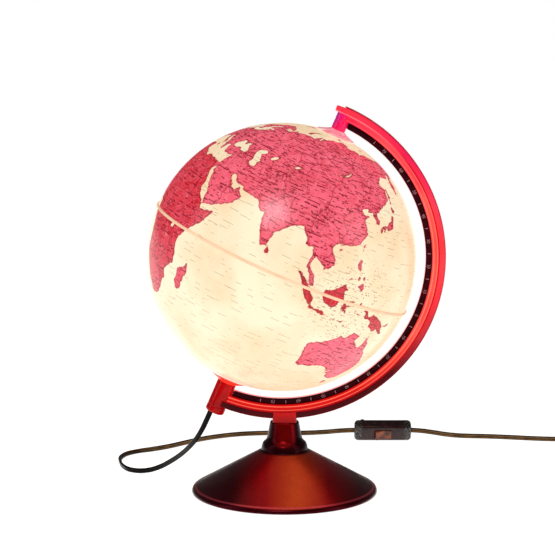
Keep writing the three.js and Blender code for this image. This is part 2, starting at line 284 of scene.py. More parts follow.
def softened(profile, radius, steps=3):
    """A closed profile with each corner rounded off."""
    rounded = []
    count = len(profile)
    for i in range(count):
        before, at, after = (np.array(profile[k % count], float) for k in (i - 1, i, i + 1))
        to_before, to_after = before - at, after - at
        reach = min(radius, np.linalg.norm(to_before) / 2.2, np.linalg.norm(to_after) / 2.2)
        start = at + to_before / np.linalg.norm(to_before) * reach
        end = at + to_after / np.linalg.norm(to_after) * reach
        for k in range(steps + 1):
            t = k / steps
            rounded.append((1 - t) ** 2 * start + 2 * t * (1 - t) * at + t * t * end)
    return np.array(rounded)


def turned(profile, segments):
    """Points and faces of a closed [radius, height] profile, anticlockwise, turned about local Z."""
    profile = np.asarray(profile, float)
    angle = np.arange(segments) * 2 * math.pi / segments
    radius, height = profile[:, 0], profile[:, 1]
    ring = np.stack([
        np.outer(np.cos(angle), radius),
        np.outer(np.sin(angle), radius),
        np.tile(height, (segments, 1)),
    ], -1)
    return ring, grid_faces(segments, len(profile))


def on_axis(points):
    """Points of the axis frame in millimetres, as metres of the row frame."""
    return (np.asarray(points, float).reshape(-1, 3) @ AXIS_TURN.T + BALL) * MM


def upright(points):
    """Points already in the row frame in millimetres, as metres."""
    return np.asarray(points, float).reshape(-1, 3) * MM


# Cord
CORD_WIDTH = 5.2
CORD_THICK = 3.2
LEAD_ROUTE = [
    (-72.4, 0, 81.4), (-76.4, 0, 72.2), (-80.5, 1.2, 63.4), (-85.5, 5.5, 54), (-91.5, 13.5, 44.8),
    (-98, 24, 36), (-106, 36.5, 26.8), (-115.5, 49.5, 17.8), (-126, 61, 9.8), (-137, 68.5, 4.6),
    (-147.5, 71.5, 2.9), (-157.5, 77, 2.75), (-165.5, 91, 2.75), (-170, 110, 2.75), (-170.5, 131, 2.75),
    (-165, 147, 2.75), (-154.5, 157.5, 2.75), (-140, 166.5, 2.75), (-123, 179.5, 2.75), (-107, 196, 2.75),
    (-90, 213, 2.75), (-70, 227, 2.75), (-48, 237, 2.75), (-20, 242, 2.75), (5, 241, 3),
    (25, 237.5, 4), (45, 231.3, 6.4), (60, 224.4, 9.3), (69, 221.1, 10.6), (75, 220.5, 10.9),
    (80.4, 220.5, 10.9),
]
TAIL_ROUTE = [
    (134.8, 220.5, 10.9), (140, 220.5, 10.9), (150, 220.9, 10.1), (163, 222.5, 8), (176, 225, 5.4),
    (189, 227, 3.6), (203, 227.5, 2.85), (222, 226, 2.75), (245, 222, 2.75), (268, 217, 2.75),
    (290, 213, 2.9), (308, 210.8, 3.3), (324.4, 210, 3.8),
]
END_ROUTE = [(380.2, 266, 8.9), (380.6, 272, 8.3), (380.9, 278, 7.6), (381, 283.7, 7.1)]
COIL_MIDDLE = (345.0, 245.2)
COIL_OUTER, COIL_INNER = 35.2, 24.8
COIL_LOW, COIL_HIGH = 4.0, 9.2
COIL_TURNS = 5.25
COIL_STEPS = 150
CORD_STEP = 1.6
STRAND_SIDES = 12


def coil_route():
    """The wound-up length: in along the lower layer, up at the middle, and out along the upper one."""
    made = []
    middle_x, middle_y = COIL_MIDDLE
    for done in np.arange(COIL_STEPS + 1) / COIL_STEPS:
        angle = math.radians(-90 + 360 * COIL_TURNS * done)
        inward = 1 - abs(2 * done - 1)
        radius = COIL_OUTER + (COIL_INNER - COIL_OUTER) * inward
        rise = min(1.0, max(0.0, (done - 0.44) / 0.12))
        height = COIL_LOW + (COIL_HIGH - COIL_LOW) * rise * rise * (3 - 2 * rise)
        made.append((middle_x + radius * math.cos(angle), middle_y + radius * math.sin(angle), height))
    return made


def smoothed(route, step):
    """A smooth line through the route's points, in even steps."""
    points = np.array(route, float)
    along = np.r_[0, np.cumsum(np.linalg.norm(np.diff(points, axis=0), axis=1))]
    slope = np.gradient(points, along, axis=0)
    at = np.linspace(0, along[-1], max(2, round(along[-1] / step)))
    i = np.clip(np.searchsorted(along, at, side="right") - 1, 0, len(points) - 2)
    span = (along[i + 1] - along[i])[:, None]
    t = (at - along[i])[:, None] / span
    start = (2 * t ** 3 - 3 * t ** 2 + 1) * points[i] + (t ** 3 - 2 * t ** 2 + t) * span * slope[i]
    end = (3 * t ** 2 - 2 * t ** 3) * points[i + 1] + (t ** 3 - t ** 2) * span * slope[i + 1]
    return start + end


def twin_section():
    """Two strands, one above the other: points, and how near each is to showing its wire, which also leaves
    painted shade along the top and bottom edges.
    """
    strand, offset = CORD_THICK / 2, (CORD_WIDTH - CORD_THICK) / 2
    start = -math.degrees(math.asin(offset / strand))
    points, core = [], []
    for sign in (1, -1):
        for k in range(STRAND_SIDES):
            angle = math.radians(start + (180 - 2 * start) * k / STRAND_SIDES)
            points.append((sign * strand * math.cos(angle), sign * (strand * math.sin(angle) + offset)))
            core.append(max(0.0, (abs(math.cos(angle)) - 0.82) / 0.18))
    return np.array(points), np.array(core)


def cord_piece(name, line, finish, stands_for, roll=None):
    """The flat twin cord along a line in millimetres, with its wide side upright unless it rolls."""
    section, core = twin_section()
    tangent = np.gradient(line, axis=0)
    tangent /= np.linalg.norm(tangent, axis=1)[:, None]
    up = np.array([0, 0, 1.0]) - tangent[:, 2:3] * tangent
    up /= np.linalg.norm(up, axis=1)[:, None]
    side = np.cross(tangent, up)
    if roll is not None:
        turn = np.interp(np.linspace(0, 1, len(line)), *roll)[:, None]
        side, up = side * np.cos(turn) + up * np.sin(turn), up * np.cos(turn) - side * np.sin(turn)
    points = line[:, None] + side[:, None] * section[None, :, :1] + up[:, None] * section[None, :, 1:]
    faces = tube_faces(len(line), len(section))
    made = piece(name, points * MM, faces, finish, "stand", stands_for, sharp=70, weld=False)
    point_values(made, "core", "FLOAT", np.tile(core, len(line)))
    point_values(made, "along", "FLOAT", np.repeat(np.linspace(0, 1, len(line)), len(section)))
    return made


def cord_finish(name, shade_until):
    """Clear brown sheath with the two wires showing through; painted shade makes it darker near the lamp end.
    """
    g = Graph(name)
    where = g.place()
    core = g.attribute("core", "Fac")
    along = g.attribute("along", "Fac")
    cloudy = g.noise(where, 90.0)
    # Partly real, partly painted: the wires show through on the strands' sides, and the dark top and bottom
    # edges are painted shade
    lit = g.math("MULTIPLY", g.band(core, 0.1, 1.0), g.band(cloudy, 0.35, 0.65, 0.45, 1.0))
    clear = g.mix(lit, linear("140c06"), linear("8e6a40"))
    # Painted shade: a near-black sheath for the length near the lamp end
    dark = g.mix(lit, linear("040303"), linear("120c0a"))
    return g.finish({
        "Base Color": g.mix(g.band(along, shade_until - 0.08, shade_until + 0.08), dark, clear),
        "Roughness": g.band(cloudy, 0.3, 0.7, 0.16, 0.3),
        "Specular IOR Level": 0.1,
        "Normal": g.bump(g.noise(where, 700.0), 0.06),
    })


lead_line = smoothed(LEAD_ROUTE, CORD_STEP)
tail_line = smoothed(TAIL_ROUTE + coil_route() + END_ROUTE, CORD_STEP)
# The lead carries painted shade near the lamp end; the tail has none
lead_finish = cord_finish("lead_sheath", 0.46)
tail_finish = cord_finish("tail_sheath", -0.2)
lead_roll = ([0, 0.3, 0.4, 0.47, 0.56, 1], [0, 0, 0.5, 0.9, 0, 0])
lead = cord_piece("flex_lead", lead_line, lead_finish, ["cord_lead"], lead_roll)
tail = cord_piece("flex_tail", tail_line, tail_finish, ["cord_tail", "cord_coil", "cord_end"])


# Map of the world: coasts as longitude and latitude in degrees, written from general knowledge
EURASIA = [
    (32.3, 31.3), (34.2, 31.3), (34.9, 32.8), (35.6, 34.2), (35.9, 35.9), (36.2, 36.8), (34.6, 36.8),
    (33, 36.1), (30.6, 36.8), (29.5, 36.2), (28, 36.8), (27.3, 37.5), (26.4, 39.2), (26.2, 40),
    (26, 40.8), (24, 40.7), (23.5, 40.2), (22.8, 40.5), (22.9, 39.6), (23.4, 38.7), (24, 38),
    (23.2, 37.4), (22.8, 36.6), (21.8, 36.9), (21.3, 37.8), (20.7, 38.8), (19.4, 40.3), (19.4, 41.8),
    (17.5, 43), (15.2, 44.2), (13.6, 45.6), (12.4, 45.3), (12.3, 44.3), (13.6, 43.5), (14.5, 42.3),
    (16.1, 41.8), (18.5, 40.2), (17, 40.5), (16.6, 39.2), (16, 38), (15.7, 39.6), (14.3, 40.7),
    (12.4, 41.7), (10.6, 42.8), (10, 44), (8.8, 44.4), (7.4, 43.7), (5, 43.3), (3.2, 43.2), (3.2, 41.9),
    (0.8, 40.9), (-0.3, 39.4), (0.1, 38.7), (-0.8, 37.7), (-2.2, 36.8), (-4.5, 36.7), (-5.6, 36),
    (-6.4, 36.8), (-8.9, 37), (-9.4, 38.8), (-8.8, 41), (-9.2, 43.1), (-5.8, 43.6), (-1.8, 43.4),
    (-1.2, 45.5), (-2.2, 47.2), (-4.6, 48.3), (-1.6, 48.7), (-1.8, 49.7), (0.2, 49.6), (1.7, 50.9),
    (4, 51.8), (4.9, 53), (7.5, 53.6), (8.7, 54), (8.2, 55.6), (8.4, 57), (10.6, 57.7), (10.2, 56.2),
    (10, 54.6), (12.5, 54.4), (14.3, 54), (18.4, 54.8), (20, 54.6), (21.1, 56.8), (23.5, 57.1),
    (24.3, 58.4), (23.5, 59.3), (28, 59.6), (30, 60), (27, 60.5), (22.8, 59.9), (21.4, 61.2), (22, 63.2),
    (25.2, 65), (22.2, 65.8), (20.8, 64), (17.6, 62.2), (17.2, 60.7), (18.8, 59.8), (16.8, 58.4),
    (16.4, 56.6), (14.6, 56.1), (12.9, 55.5), (11.2, 58.4), (10.6, 59.3), (8, 58.1), (5.5, 59),
    (5.1, 61.5), (9.5, 63.6), (13, 66.2), (16.5, 68.6), (20.5, 70), (25.8, 71), (30.5, 70.2), (37, 68.8),
    (41, 67.2), (40, 66.3), (33, 66.8), (34.8, 64.5), (38, 64), (40.5, 64.7), (42, 66.4), (44.2, 68.2),
    (46.5, 66.9), (53, 68.6), (60.5, 69), (67, 68.8), (68, 71.5), (72.5, 72.8), (73.5, 69), (74.5, 72.2),
    (80.5, 73), (87, 75.2), (98, 76.2), (104.3, 77.7), (112.5, 75.8), (112, 73.9), (118, 73.1),
    (126.5, 73.3), (130, 71), (139.5, 72.3), (150, 71.3), (160.5, 69.7), (170.5, 69.5), (180, 68.8),
    (190, 66), (185, 64.6), (178.5, 64.4), (179.3, 62.5), (170, 60), (163.8, 60), (162, 58), (163, 56.1),
    (160, 54), (158, 52), (156.7, 51), (155.6, 54), (155.9, 57), (159.5, 60), (163.5, 62.3), (160, 61.7),
    (155, 59.3), (149, 59.5), (142.5, 59.2), (135.5, 54.9), (138.5, 54), (141.3, 52.8), (140.5, 50),
    (140.3, 48), (137, 45.5), (132.2, 43), (130.6, 42.3), (129.7, 40.8), (127.5, 39.6), (128.5, 38.3),
    (129.5, 36.8), (129.2, 35.2), (126.5, 34.3), (126.5, 36.8), (124.8, 38.1), (125.2, 39.6), (121.5, 39),
    (122, 40.6), (119.5, 39.8), (117.7, 39), (119, 37.3), (122.5, 37.2), (119.3, 35), (121, 32.6),
    (121.9, 31), (120.8, 30.3), (122, 29.6), (120.6, 27.3), (118.8, 24.7), (116.5, 23), (113.6, 22.2),
    (110.4, 21.2), (109.8, 20.4), (109.7, 21.6), (108, 21.6), (105.9, 19.5), (107, 16.9), (108.9, 15.2),
    (109.3, 12.2), (107.2, 10.4), (105, 8.6), (104.9, 10.3), (102.9, 11.6), (100.9, 12.7), (100.4, 13.6),
    (99.9, 11.8), (99.2, 9.3), (100.5, 7.2), (102.3, 6), (103.4, 4.2), (104.2, 1.4), (103.4, 1.5),
    (101.3, 2.9), (100.3, 5.5), (98.3, 8), (98.5, 10.5), (98.6, 13.2), (97.6, 16.5), (95.4, 15.8),
    (94.3, 16.2), (94.4, 18.5), (92.3, 20.8), (91, 22.6), (88.8, 21.8), (87, 21.3), (85, 19.5),
    (82.3, 16.9), (80.3, 15.5), (80.2, 13.2), (79.9, 11), (78.9, 9.4), (77.5, 8.1), (76.3, 9.8),
    (74.8, 12.9), (73.5, 16), (72.8, 19), (72.7, 21.3), (70.8, 20.8), (69, 22.3), (68.2, 23.7),
    (66.9, 25), (61.8, 25.1), (57.4, 25.7), (56.9, 27.1), (54.5, 26.6), (51.6, 27.9), (50.2, 30.1),
    (48.5, 30), (48, 29.4), (48.8, 27.7), (50.2, 26.5), (50.8, 24.8), (51.3, 26.1), (51.6, 24.8),
    (54, 24.2), (56.3, 26.2), (56.6, 24.4), (59.8, 22.5), (58, 20.3), (57.8, 19), (55.2, 17.4),
    (52.2, 15.7), (48.7, 14), (45, 12.8), (43.4, 12.7), (42.8, 15), (42.5, 16.8), (40.8, 19.6),
    (39.1, 21.6), (37.4, 24.6), (35.2, 28), (34.9, 29.5), (34.3, 27.8), (33.2, 28.6), (32.5, 29.9),
]
AFRICA = [
    (32.6, 29.9), (32.4, 31.3), (30, 31.4), (25, 31.7), (22, 32.9), (20, 31), (19, 30.3), (15.3, 32.3),
    (11, 33.3), (10.2, 34.6), (11.1, 37), (9.5, 37.3), (3, 36.9), (-2, 35.1), (-5.8, 35.8), (-9.6, 30.5),
    (-13, 27.8), (-17, 21.3), (-16.3, 17.5), (-17.4, 14.7), (-16, 11.3), (-13.2, 8.8), (-11, 6.6),
    (-7.6, 4.4), (-2, 4.8), (1.5, 6.1), (4.4, 6.3), (6, 4.3), (9, 4), (9.7, 2), (8.8, -0.7), (12, -5),
    (13.6, -10.5), (12.3, -15.5), (11.8, -18), (14.5, -22.6), (15.8, -28), (18.2, -32), (18.4, -34.2),
    (20, -34.8), (25.7, -34), (28.5, -32.5), (32, -28.7), (32.8, -26), (35.5, -24), (34.8, -19.9),
    (40.6, -15.2), (40.4, -10.5), (39.2, -7), (39.6, -4.2), (41.8, -1.5), (44.5, 1.9), (48, 4.8),
    (50.8, 9.8), (51.3, 11.9), (48.5, 11.2), (44.6, 10.4), (43.2, 11.5), (43.3, 12.4), (41.2, 14.6),
    (39.2, 15.6), (37.3, 18.8), (37.2, 21), (35.5, 23.9), (34, 26.5),
]
AUSTRALIA = [
    (113.7, -22.5), (114.2, -26.3), (115, -30), (115.7, -31.8), (115, -34.2), (118, -35), (120, -33.9),
    (123.8, -33.9), (126, -32.3), (131.2, -31.5), (134.2, -32.8), (135.8, -34.8), (137.8, -32.6),
    (137, -35.2), (138.5, -35.5), (140, -37.5), (143.5, -38.8), (146.4, -39), (150, -37.4),
    (151.3, -33.5), (153, -31), (153.5, -28.2), (153, -25.2), (150.8, -23.2), (149, -20.4), (146.3, -19),
    (145.4, -15), (143.6, -14.3), (142.5, -10.7), (141.6, -13), (141.5, -16), (140.8, -17.6),
    (139, -17.4), (135.5, -15), (136.9, -12.2), (132.5, -11.4), (131, -12.3), (129.6, -15), (128, -14.8),
    (126.8, -13.9), (124.4, -16.4), (122.2, -18.1), (119, -20), (116, -20.8),
]
NORTH_AMERICA = [
    (-168, 65.7), (-162, 66.5), (-166.5, 68.3), (-156.5, 71.3), (-141, 69.7), (-128, 70.2), (-115, 68.2),
    (-108, 68), (-95, 67.8), (-94, 71.5), (-85, 69.5), (-81.5, 68), (-87, 64.5), (-94, 61), (-94.5, 58.8),
    (-92.5, 57), (-82.3, 55.2), (-80, 51.3), (-79, 54.5), (-77, 56), (-78, 62.4), (-70, 61), (-65, 59),
    (-61.5, 56.5), (-55.8, 52.5), (-60, 50.2), (-66.5, 50.2), (-70, 47), (-64.5, 48.8), (-65, 46.5),
    (-61, 45.5), (-66, 43.6), (-67, 45), (-70.5, 43.3), (-70, 41.6), (-74, 40.5), (-75.8, 36.8),
    (-78, 33.9), (-81.3, 31.3), (-80.1, 26.5), (-81, 25.2), (-82.7, 28), (-84, 30), (-89.5, 30.2),
    (-94.5, 29.5), (-97.3, 27.5), (-97.6, 22.5), (-95.8, 18.8), (-91.5, 18.5), (-90.3, 21), (-87, 21.5),
    (-88.2, 17.8), (-88.5, 15.8), (-83.3, 15), (-83.7, 11), (-81.5, 9), (-79.5, 9.5), (-77.5, 8.6),
    (-78.5, 8), (-80.3, 7.3), (-83.5, 8.5), (-87.5, 12.9), (-92.5, 14.6), (-96.5, 15.8), (-102, 18),
    (-105.5, 20.5), (-106.5, 23.8), (-110.5, 27), (-113.1, 31.2), (-114.7, 31.6), (-111.3, 26),
    (-109.5, 23), (-112.3, 26.2), (-115.8, 30.3), (-117.3, 33), (-120.6, 34.6), (-124.3, 40.4),
    (-124, 46.2), (-124.7, 48.4), (-122.5, 48.5), (-127.8, 51.5), (-131, 55), (-136.5, 58.2),
    (-146, 60.8), (-151.5, 59.3), (-153.5, 59.5), (-158, 56.5), (-164.5, 54.7), (-158, 58.5),
    (-162, 58.8), (-165.5, 61.5), (-161, 64.3), (-166, 64.5),
]
SOUTH_AMERICA = [
    (-77.5, 8.6), (-75.5, 10.7), (-71.8, 12.3), (-68, 10.8), (-62, 10.6), (-57, 6), (-51.5, 4.3),
    (-50, 0), (-44.5, -2.5), (-39, -3.2), (-35.2, -5.3), (-35, -8.5), (-38.8, -13), (-39.5, -18),
    (-41, -22), (-45, -23.5), (-48.6, -26.5), (-52.3, -33), (-56.5, -34.8), (-58.3, -34.2), (-57, -36.5),
    (-62, -39), (-65, -41), (-65.5, -45), (-69, -50.5), (-68.4, -52.5), (-65.5, -54.8), (-70, -55.3),
    (-74.5, -50.5), (-74, -44), (-73.3, -37), (-71.4, -30), (-70.2, -20), (-71.5, -17.5), (-76.3, -13.8),
    (-81, -6), (-80, -3), (-80.5, 0), (-77.5, 4),
]
ANTARCTICA = [
    (0, -70), (30, -69), (60, -67), (90, -66.5), (120, -66.8), (150, -68.5), (170, -72), (200, -78),
    (230, -74.5), (260, -73), (285, -72), (297, -64), (300, -74), (325, -78), (345, -71.5), (360, -70),
    (360, -90), (0, -90),
]
EAST_INDIES = [
    [(95.3, 5.6), (97.5, 5.2), (100.2, 2.9), (103.5, -0.6), (106, -3.1), (105.8, -5.8), (104.5, -5.8),
     (102.3, -4), (100.4, -1.2), (98.7, 1.7)],
    [(105.2, -6.8), (106.5, -6), (108.6, -6.7), (110.9, -6.4), (112.6, -6.9), (114.5, -7.8),
     (114.4, -8.7), (110, -8), (106.5, -7.4)],
    [(116.8, -8.3), (118.9, -8.2), (119, -8.9), (116.9, -9)],
    [(119.9, -8.3), (122.9, -8.1), (122.8, -8.7), (120, -8.9)],
    [(123.6, -10.2), (125, -8.9), (127.2, -8.4), (125.2, -9.5), (124, -10.4)],
    [(109, 1.6), (109.7, 2), (111.3, 2.5), (113, 3.2), (115, 5), (117, 7), (119.2, 5.2), (117.6, 3.5),
     (118.9, 1), (117.4, -0.8), (116.4, -3.6), (114.6, -4), (111.8, -3.4), (110.2, -2.6), (109.3, -0.5)],
    [(119.4, -5.5), (120.4, -5.4), (120.5, -3), (121.5, -4.8), (122.8, -4.4), (121.6, -2), (123.3, -1),
     (121, -1.3), (120.3, 0), (121, 0.5), (123.5, 0.4), (125.2, 1.6), (123.5, 1.1), (120.8, 1.3),
     (119.7, 0.2), (119.2, -2.7)],
    [(127.5, 2), (128.5, 1.5), (128.2, 0), (127.9, -0.8), (127.5, 0.7)],
    [(127.9, -3), (130.8, -3.1), (130, -3.6), (128, -3.6)],
    [(131, -0.8), (134, -0.8), (134.5, -2.9), (135.5, -3.3), (137.8, -1.6), (141, -2.6), (144.5, -3.9),
     (147.8, -6.1), (147, -6.8), (150.8, -10.3), (147, -9.5), (144.5, -7.7), (142.5, -9.2), (139.5, -8.1),
     (138, -7.2), (137.9, -5.3), (135, -4.4), (133, -4.1), (132.4, -2.8), (133.2, -2.2), (131.2, -1.4)],
    [(148.4, -5.6), (152, -4.2), (151.5, -5.6), (149, -6.3)],
]
ISLANDS = [
    [(49.3, -12), (50.5, -15.7), (49.3, -18.2), (47.2, -24.9), (45.1, -25.5), (43.3, -22.2),
     (44.4, -19.9), (44.4, -16.2), (47.8, -14.6)],
    [(80, 9.7), (81.2, 8.5), (81.8, 7.2), (80.6, 5.9), (79.8, 7)],
    [(144.7, -40.7), (148.3, -40.9), (148, -43.2), (146, -43.6)],
    [(172.7, -34.5), (175.5, -36.5), (178.5, -37.7), (176.9, -40), (175.2, -41.6), (173.8, -39.3),
     (174.8, -38)],
    [(172.7, -40.5), (174.3, -41.8), (171.2, -44.4), (168.4, -46.6), (166.5, -45.8), (170.8, -42.8)],
    [(121.5, 25.3), (121.9, 24.9), (120.9, 21.9), (120.1, 23.2)],
    [(108.7, 19.3), (110.5, 20.1), (111, 19.6), (109.5, 18.2)],
    [(120.6, 18.5), (122.2, 18.4), (121.7, 16), (122.5, 14.2), (124, 13), (123.5, 12.7), (121.7, 13.8),
     (120.2, 14.4), (119.9, 16.3)],
    [(122, 7), (123.5, 8.6), (125.4, 9.7), (126.5, 7.8), (125.5, 5.8), (124, 6.8)],
    [(122, 11.8), (123.2, 11.4), (122.6, 10), (122, 10.5)],
    [(124.3, 12.5), (125.6, 12), (125.2, 10.3), (124.5, 10.8)],
    [(117.2, 8.4), (119.4, 11.2), (119.4, 10.4), (117.7, 8.4)],
    [(130, 33.3), (131.7, 33.6), (131.4, 31.4), (130.2, 31.3)],
    [(131, 34), (132.7, 35.4), (136, 35.7), (136.8, 37.3), (139.3, 38.2), (140, 40.6), (141.4, 41.3),
     (142, 39.6), (141, 38.2), (140.8, 35.7), (139.8, 35), (138.2, 34.6), (135.8, 33.5), (135, 34.6),
     (133, 34.3)],
    [(132.5, 33.7), (134.6, 34.2), (134.3, 33.4), (132.9, 32.8)],
    [(140, 42), (141.4, 43.3), (141.8, 45.4), (144, 44), (145.4, 43.4), (143.2, 42), (141, 42.5)],
    [(142, 46), (143.5, 46.8), (142.9, 49), (144.5, 49.2), (143.3, 52.5), (142.7, 54.3), (142, 52.5),
     (142, 49)],
    [(51.5, 71.8), (55.5, 75), (60, 76.2), (68.5, 76.9), (61, 75.3), (56.5, 73.5), (57.5, 70.8),
     (53.5, 71)],
    [(95, 79.2), (100, 81), (105, 79), (100, 78)],
    [(11, 79.5), (20, 80.4), (27, 80), (20, 78.5), (16.5, 76.7), (13, 78)],
    [(137, 75.5), (144, 76), (150, 75.2), (143, 74.6)],
    [(-5.6, 50.1), (1.2, 51.2), (1.7, 52.7), (0.2, 53.5), (-1.8, 55.6), (-2, 57.5), (-3.3, 58.6),
     (-5.1, 58.5), (-5.8, 56.5), (-3.2, 54.9), (-4.6, 53.2), (-5.2, 51.8), (-3, 51.4)],
    [(-6.2, 53.5), (-5.7, 54.7), (-8, 55.3), (-10, 54.2), (-10.2, 51.8), (-6.5, 52.2)],
    [(-22.5, 64), (-18.5, 63.4), (-13.6, 65), (-16, 66.5), (-22.5, 66.3), (-24.3, 65.5)],
    [(32.3, 34.8), (34.5, 35.7), (33.8, 34.8)],
    [(23.6, 35.5), (26.2, 35.3), (24.5, 34.9)],
    [(12.5, 38), (15.5, 38.2), (15.1, 36.7)],
    [(-73, 78.2), (-60, 76.2), (-54.5, 71.5), (-53.5, 67), (-48, 61), (-43.8, 60), (-40, 65), (-24, 69.5),
     (-20, 74.5), (-18, 80), (-33, 83.5), (-60, 82)],
    [(-61.5, 66.7), (-68, 63.5), (-72.5, 64.5), (-78, 70), (-86, 73.5), (-80, 73.7), (-68, 70.5)],
    [(-117, 70), (-104, 69.5), (-105, 72.8), (-115, 73.2)],
    [(-90, 77), (-78, 76.5), (-62, 82.5), (-85, 82), (-92, 80)],
    [(-84.8, 22), (-80, 23.1), (-74.3, 20.2), (-77.5, 19.9), (-82, 22.4)],
    [(-74.3, 18.4), (-73, 19.9), (-68.5, 18.7), (-71.5, 17.8)],
]
INLAND_WATERS = [
    [(28.6, 41.4), (31.5, 41.2), (33.3, 42), (35.1, 42), (36.5, 41.2), (38.5, 41), (41.4, 41.5),
     (41.5, 42.6), (39.5, 43.8), (37.5, 44.8), (38.2, 46.8), (35.2, 46.3), (35.4, 45.2), (33.5, 44.4),
     (32.6, 45.4), (33.2, 46.1), (31, 46.6), (29.6, 45.3), (28.6, 44), (27.7, 42.5)],
    [(47.5, 45.6), (49, 46.5), (51.5, 47), (53, 46.5), (53, 45.2), (51.2, 44.6), (50.5, 44.2),
     (52.3, 42.5), (52.8, 41.2), (53.9, 40.8), (53, 39.5), (53.9, 37.2), (51.5, 36.7), (49.3, 37.6),
     (48.9, 38.6), (49.5, 40.3), (48.5, 41.8), (47.5, 43), (46.9, 44.6)],
    [(58.3, 45), (59.5, 46.4), (61.6, 46.6), (60.5, 44.3), (58.5, 43.7)],
    [(73.7, 45.4), (75, 46.6), (79, 46.7), (76, 46.1), (74.3, 45)],
    [(103.7, 51.5), (106.5, 53), (109.9, 55.7), (109.3, 54), (106, 52)],
    [(31.8, -0.5), (34.2, 0), (33.5, -2.5), (31.8, -2.3)],
    [(-92, 46.7), (-88.5, 48.6), (-84.8, 46.6), (-80.2, 45), (-82.5, 43.2), (-84.5, 45.6), (-86.3, 44),
     (-87.3, 41.8), (-88, 44), (-86.5, 45.8)],
]
# How deep a red each land has
TONES = {"mainland": 0.12, "africa": 0.72, "indies": 0.95, "island": 0.4}


def signed_distance(longitude, latitude, outline):
    """Degrees from each place to an outline, positive inside it and -9 where it is far away."""
    outline = np.array(outline, float)
    best = np.full(len(longitude), -9.0)
    low, high = outline.min(0) - 9, outline.max(0) + 9
    for turn in (0, 360):
        x = longitude + turn
        stretch = 1 / np.maximum(np.cos(np.radians(latitude)), 0.12)
        near = (x > low[0] - 9 * (stretch - 1)) & (x < high[0] + 9 * (stretch - 1))
        near &= (latitude > low[1]) & (latitude < high[1])
        if not near.any():
            continue
        px, py = x[near], latitude[near]
        squeeze = np.cos(np.radians(py))
        nearest = np.full(len(px), 81.0)
        inside = np.zeros(len(px), bool)
        for (ax, ay), (bx, by) in zip(outline, np.roll(outline, -1, axis=0)):
            if ay <= -89.9 and by <= -89.9:
                continue
            across, up = (bx - ax) * squeeze, by - ay
            from_x, from_y = (px - ax) * squeeze, py - ay
            share = np.clip((from_x * across + from_y * up) / (across ** 2 + up ** 2 + 1e-9), 0, 1)
            gap = (from_x - share * across) ** 2 + (from_y - share * up) ** 2
            nearest = np.minimum(nearest, gap)
            if ay != by:
                crosses = ((ay > py) != (by > py)) & (px < (bx - ax) * (py - ay) / (by - ay) + ax)
                inside ^= crosses
        signed = np.sqrt(nearest) * np.where(inside, 1, -1)
        best[near] = np.maximum(best[near], signed)
    return best


def chart(directions):
    """For unit directions in the axis frame: signed degrees to the coast, and the tone of the land."""
    x, y, z = directions.T
    latitude = np.degrees(np.arcsin(np.clip(z, -1, 1)))
    longitude = (np.degrees(np.arctan2(x, -y)) + CENTRE_LONGITUDE + 180) % 360 - 180
    lands = [(EURASIA, "mainland"), (AUSTRALIA, "mainland"), (NORTH_AMERICA, "mainland"), (AFRICA, "africa")]
    lands += [(SOUTH_AMERICA, "mainland"), (ANTARCTICA, "mainland")]
    lands += [(outline, "indies") for outline in EAST_INDIES] + [(outline, "island") for outline in ISLANDS]
    coast = np.full(len(directions), -9.0)
    tone = np.zeros(len(directions))
    for outline, kind in lands:
        signed = signed_distance(longitude, latitude, outline)
        nearer = signed > coast
        tone[nearer] = TONES[kind]
        coast = np.maximum(coast, signed)
    for outline in INLAND_WATERS:
        coast = np.minimum(coast, -signed_distance(longitude, latitude, outline))
    return coast, tone


def dash_layer(g, across, up, squeeze, size, thick, longest, share):
    """Short strokes along the parallels, at random places: one or none in each cell of size degrees."""
    wide, tall = size
    where = g.add("ShaderNodeCombineXYZ", {
        "X": g.math("DIVIDE", across, math.radians(wide)),
        "Y": g.math("DIVIDE", up, math.radians(tall)),
    })
    middle = g.voronoi(where, 1.0, "Position", voronoi_dimensions="2D")
    chance = g.voronoi(where, 1.0, "Color", voronoi_dimensions="2D")
    off_x, off_y, _ = g.parts(g.vector("ABSOLUTE", g.vector("SUBTRACT", where, middle)))
    draw_length, draw_share, _ = g.parts(chance, "ShaderNodeSeparateColor")
    near = g.math("LESS_THAN", off_y, thick / tall / 2)
    reach = g.math("MULTIPLY", draw_length, longest / wide / 2)
    within = g.math("LESS_THAN", g.math("MULTIPLY", off_x, squeeze), reach)
    kept = g.math("LESS_THAN", draw_share, share)
    return g.math("MULTIPLY", g.math("MULTIPLY", near, within), kept)


def near_place(g, spot, longitude, latitude, inner, outer):
    """1 within inner degrees of a place on the globe, falling to 0 at outer degrees."""
    turn, up = math.radians(longitude - CENTRE_LONGITUDE), math.radians(latitude)
    toward = (math.cos(up) * math.sin(turn), -math.cos(up) * math.cos(turn), math.sin(up))
    closeness = g.add("ShaderNodeVectorMath", {0: spot, 1: toward}, "Value", operation="DOT_PRODUCT")
    return g.band(closeness, math.cos(math.radians(outer)), math.cos(math.radians(inner)))


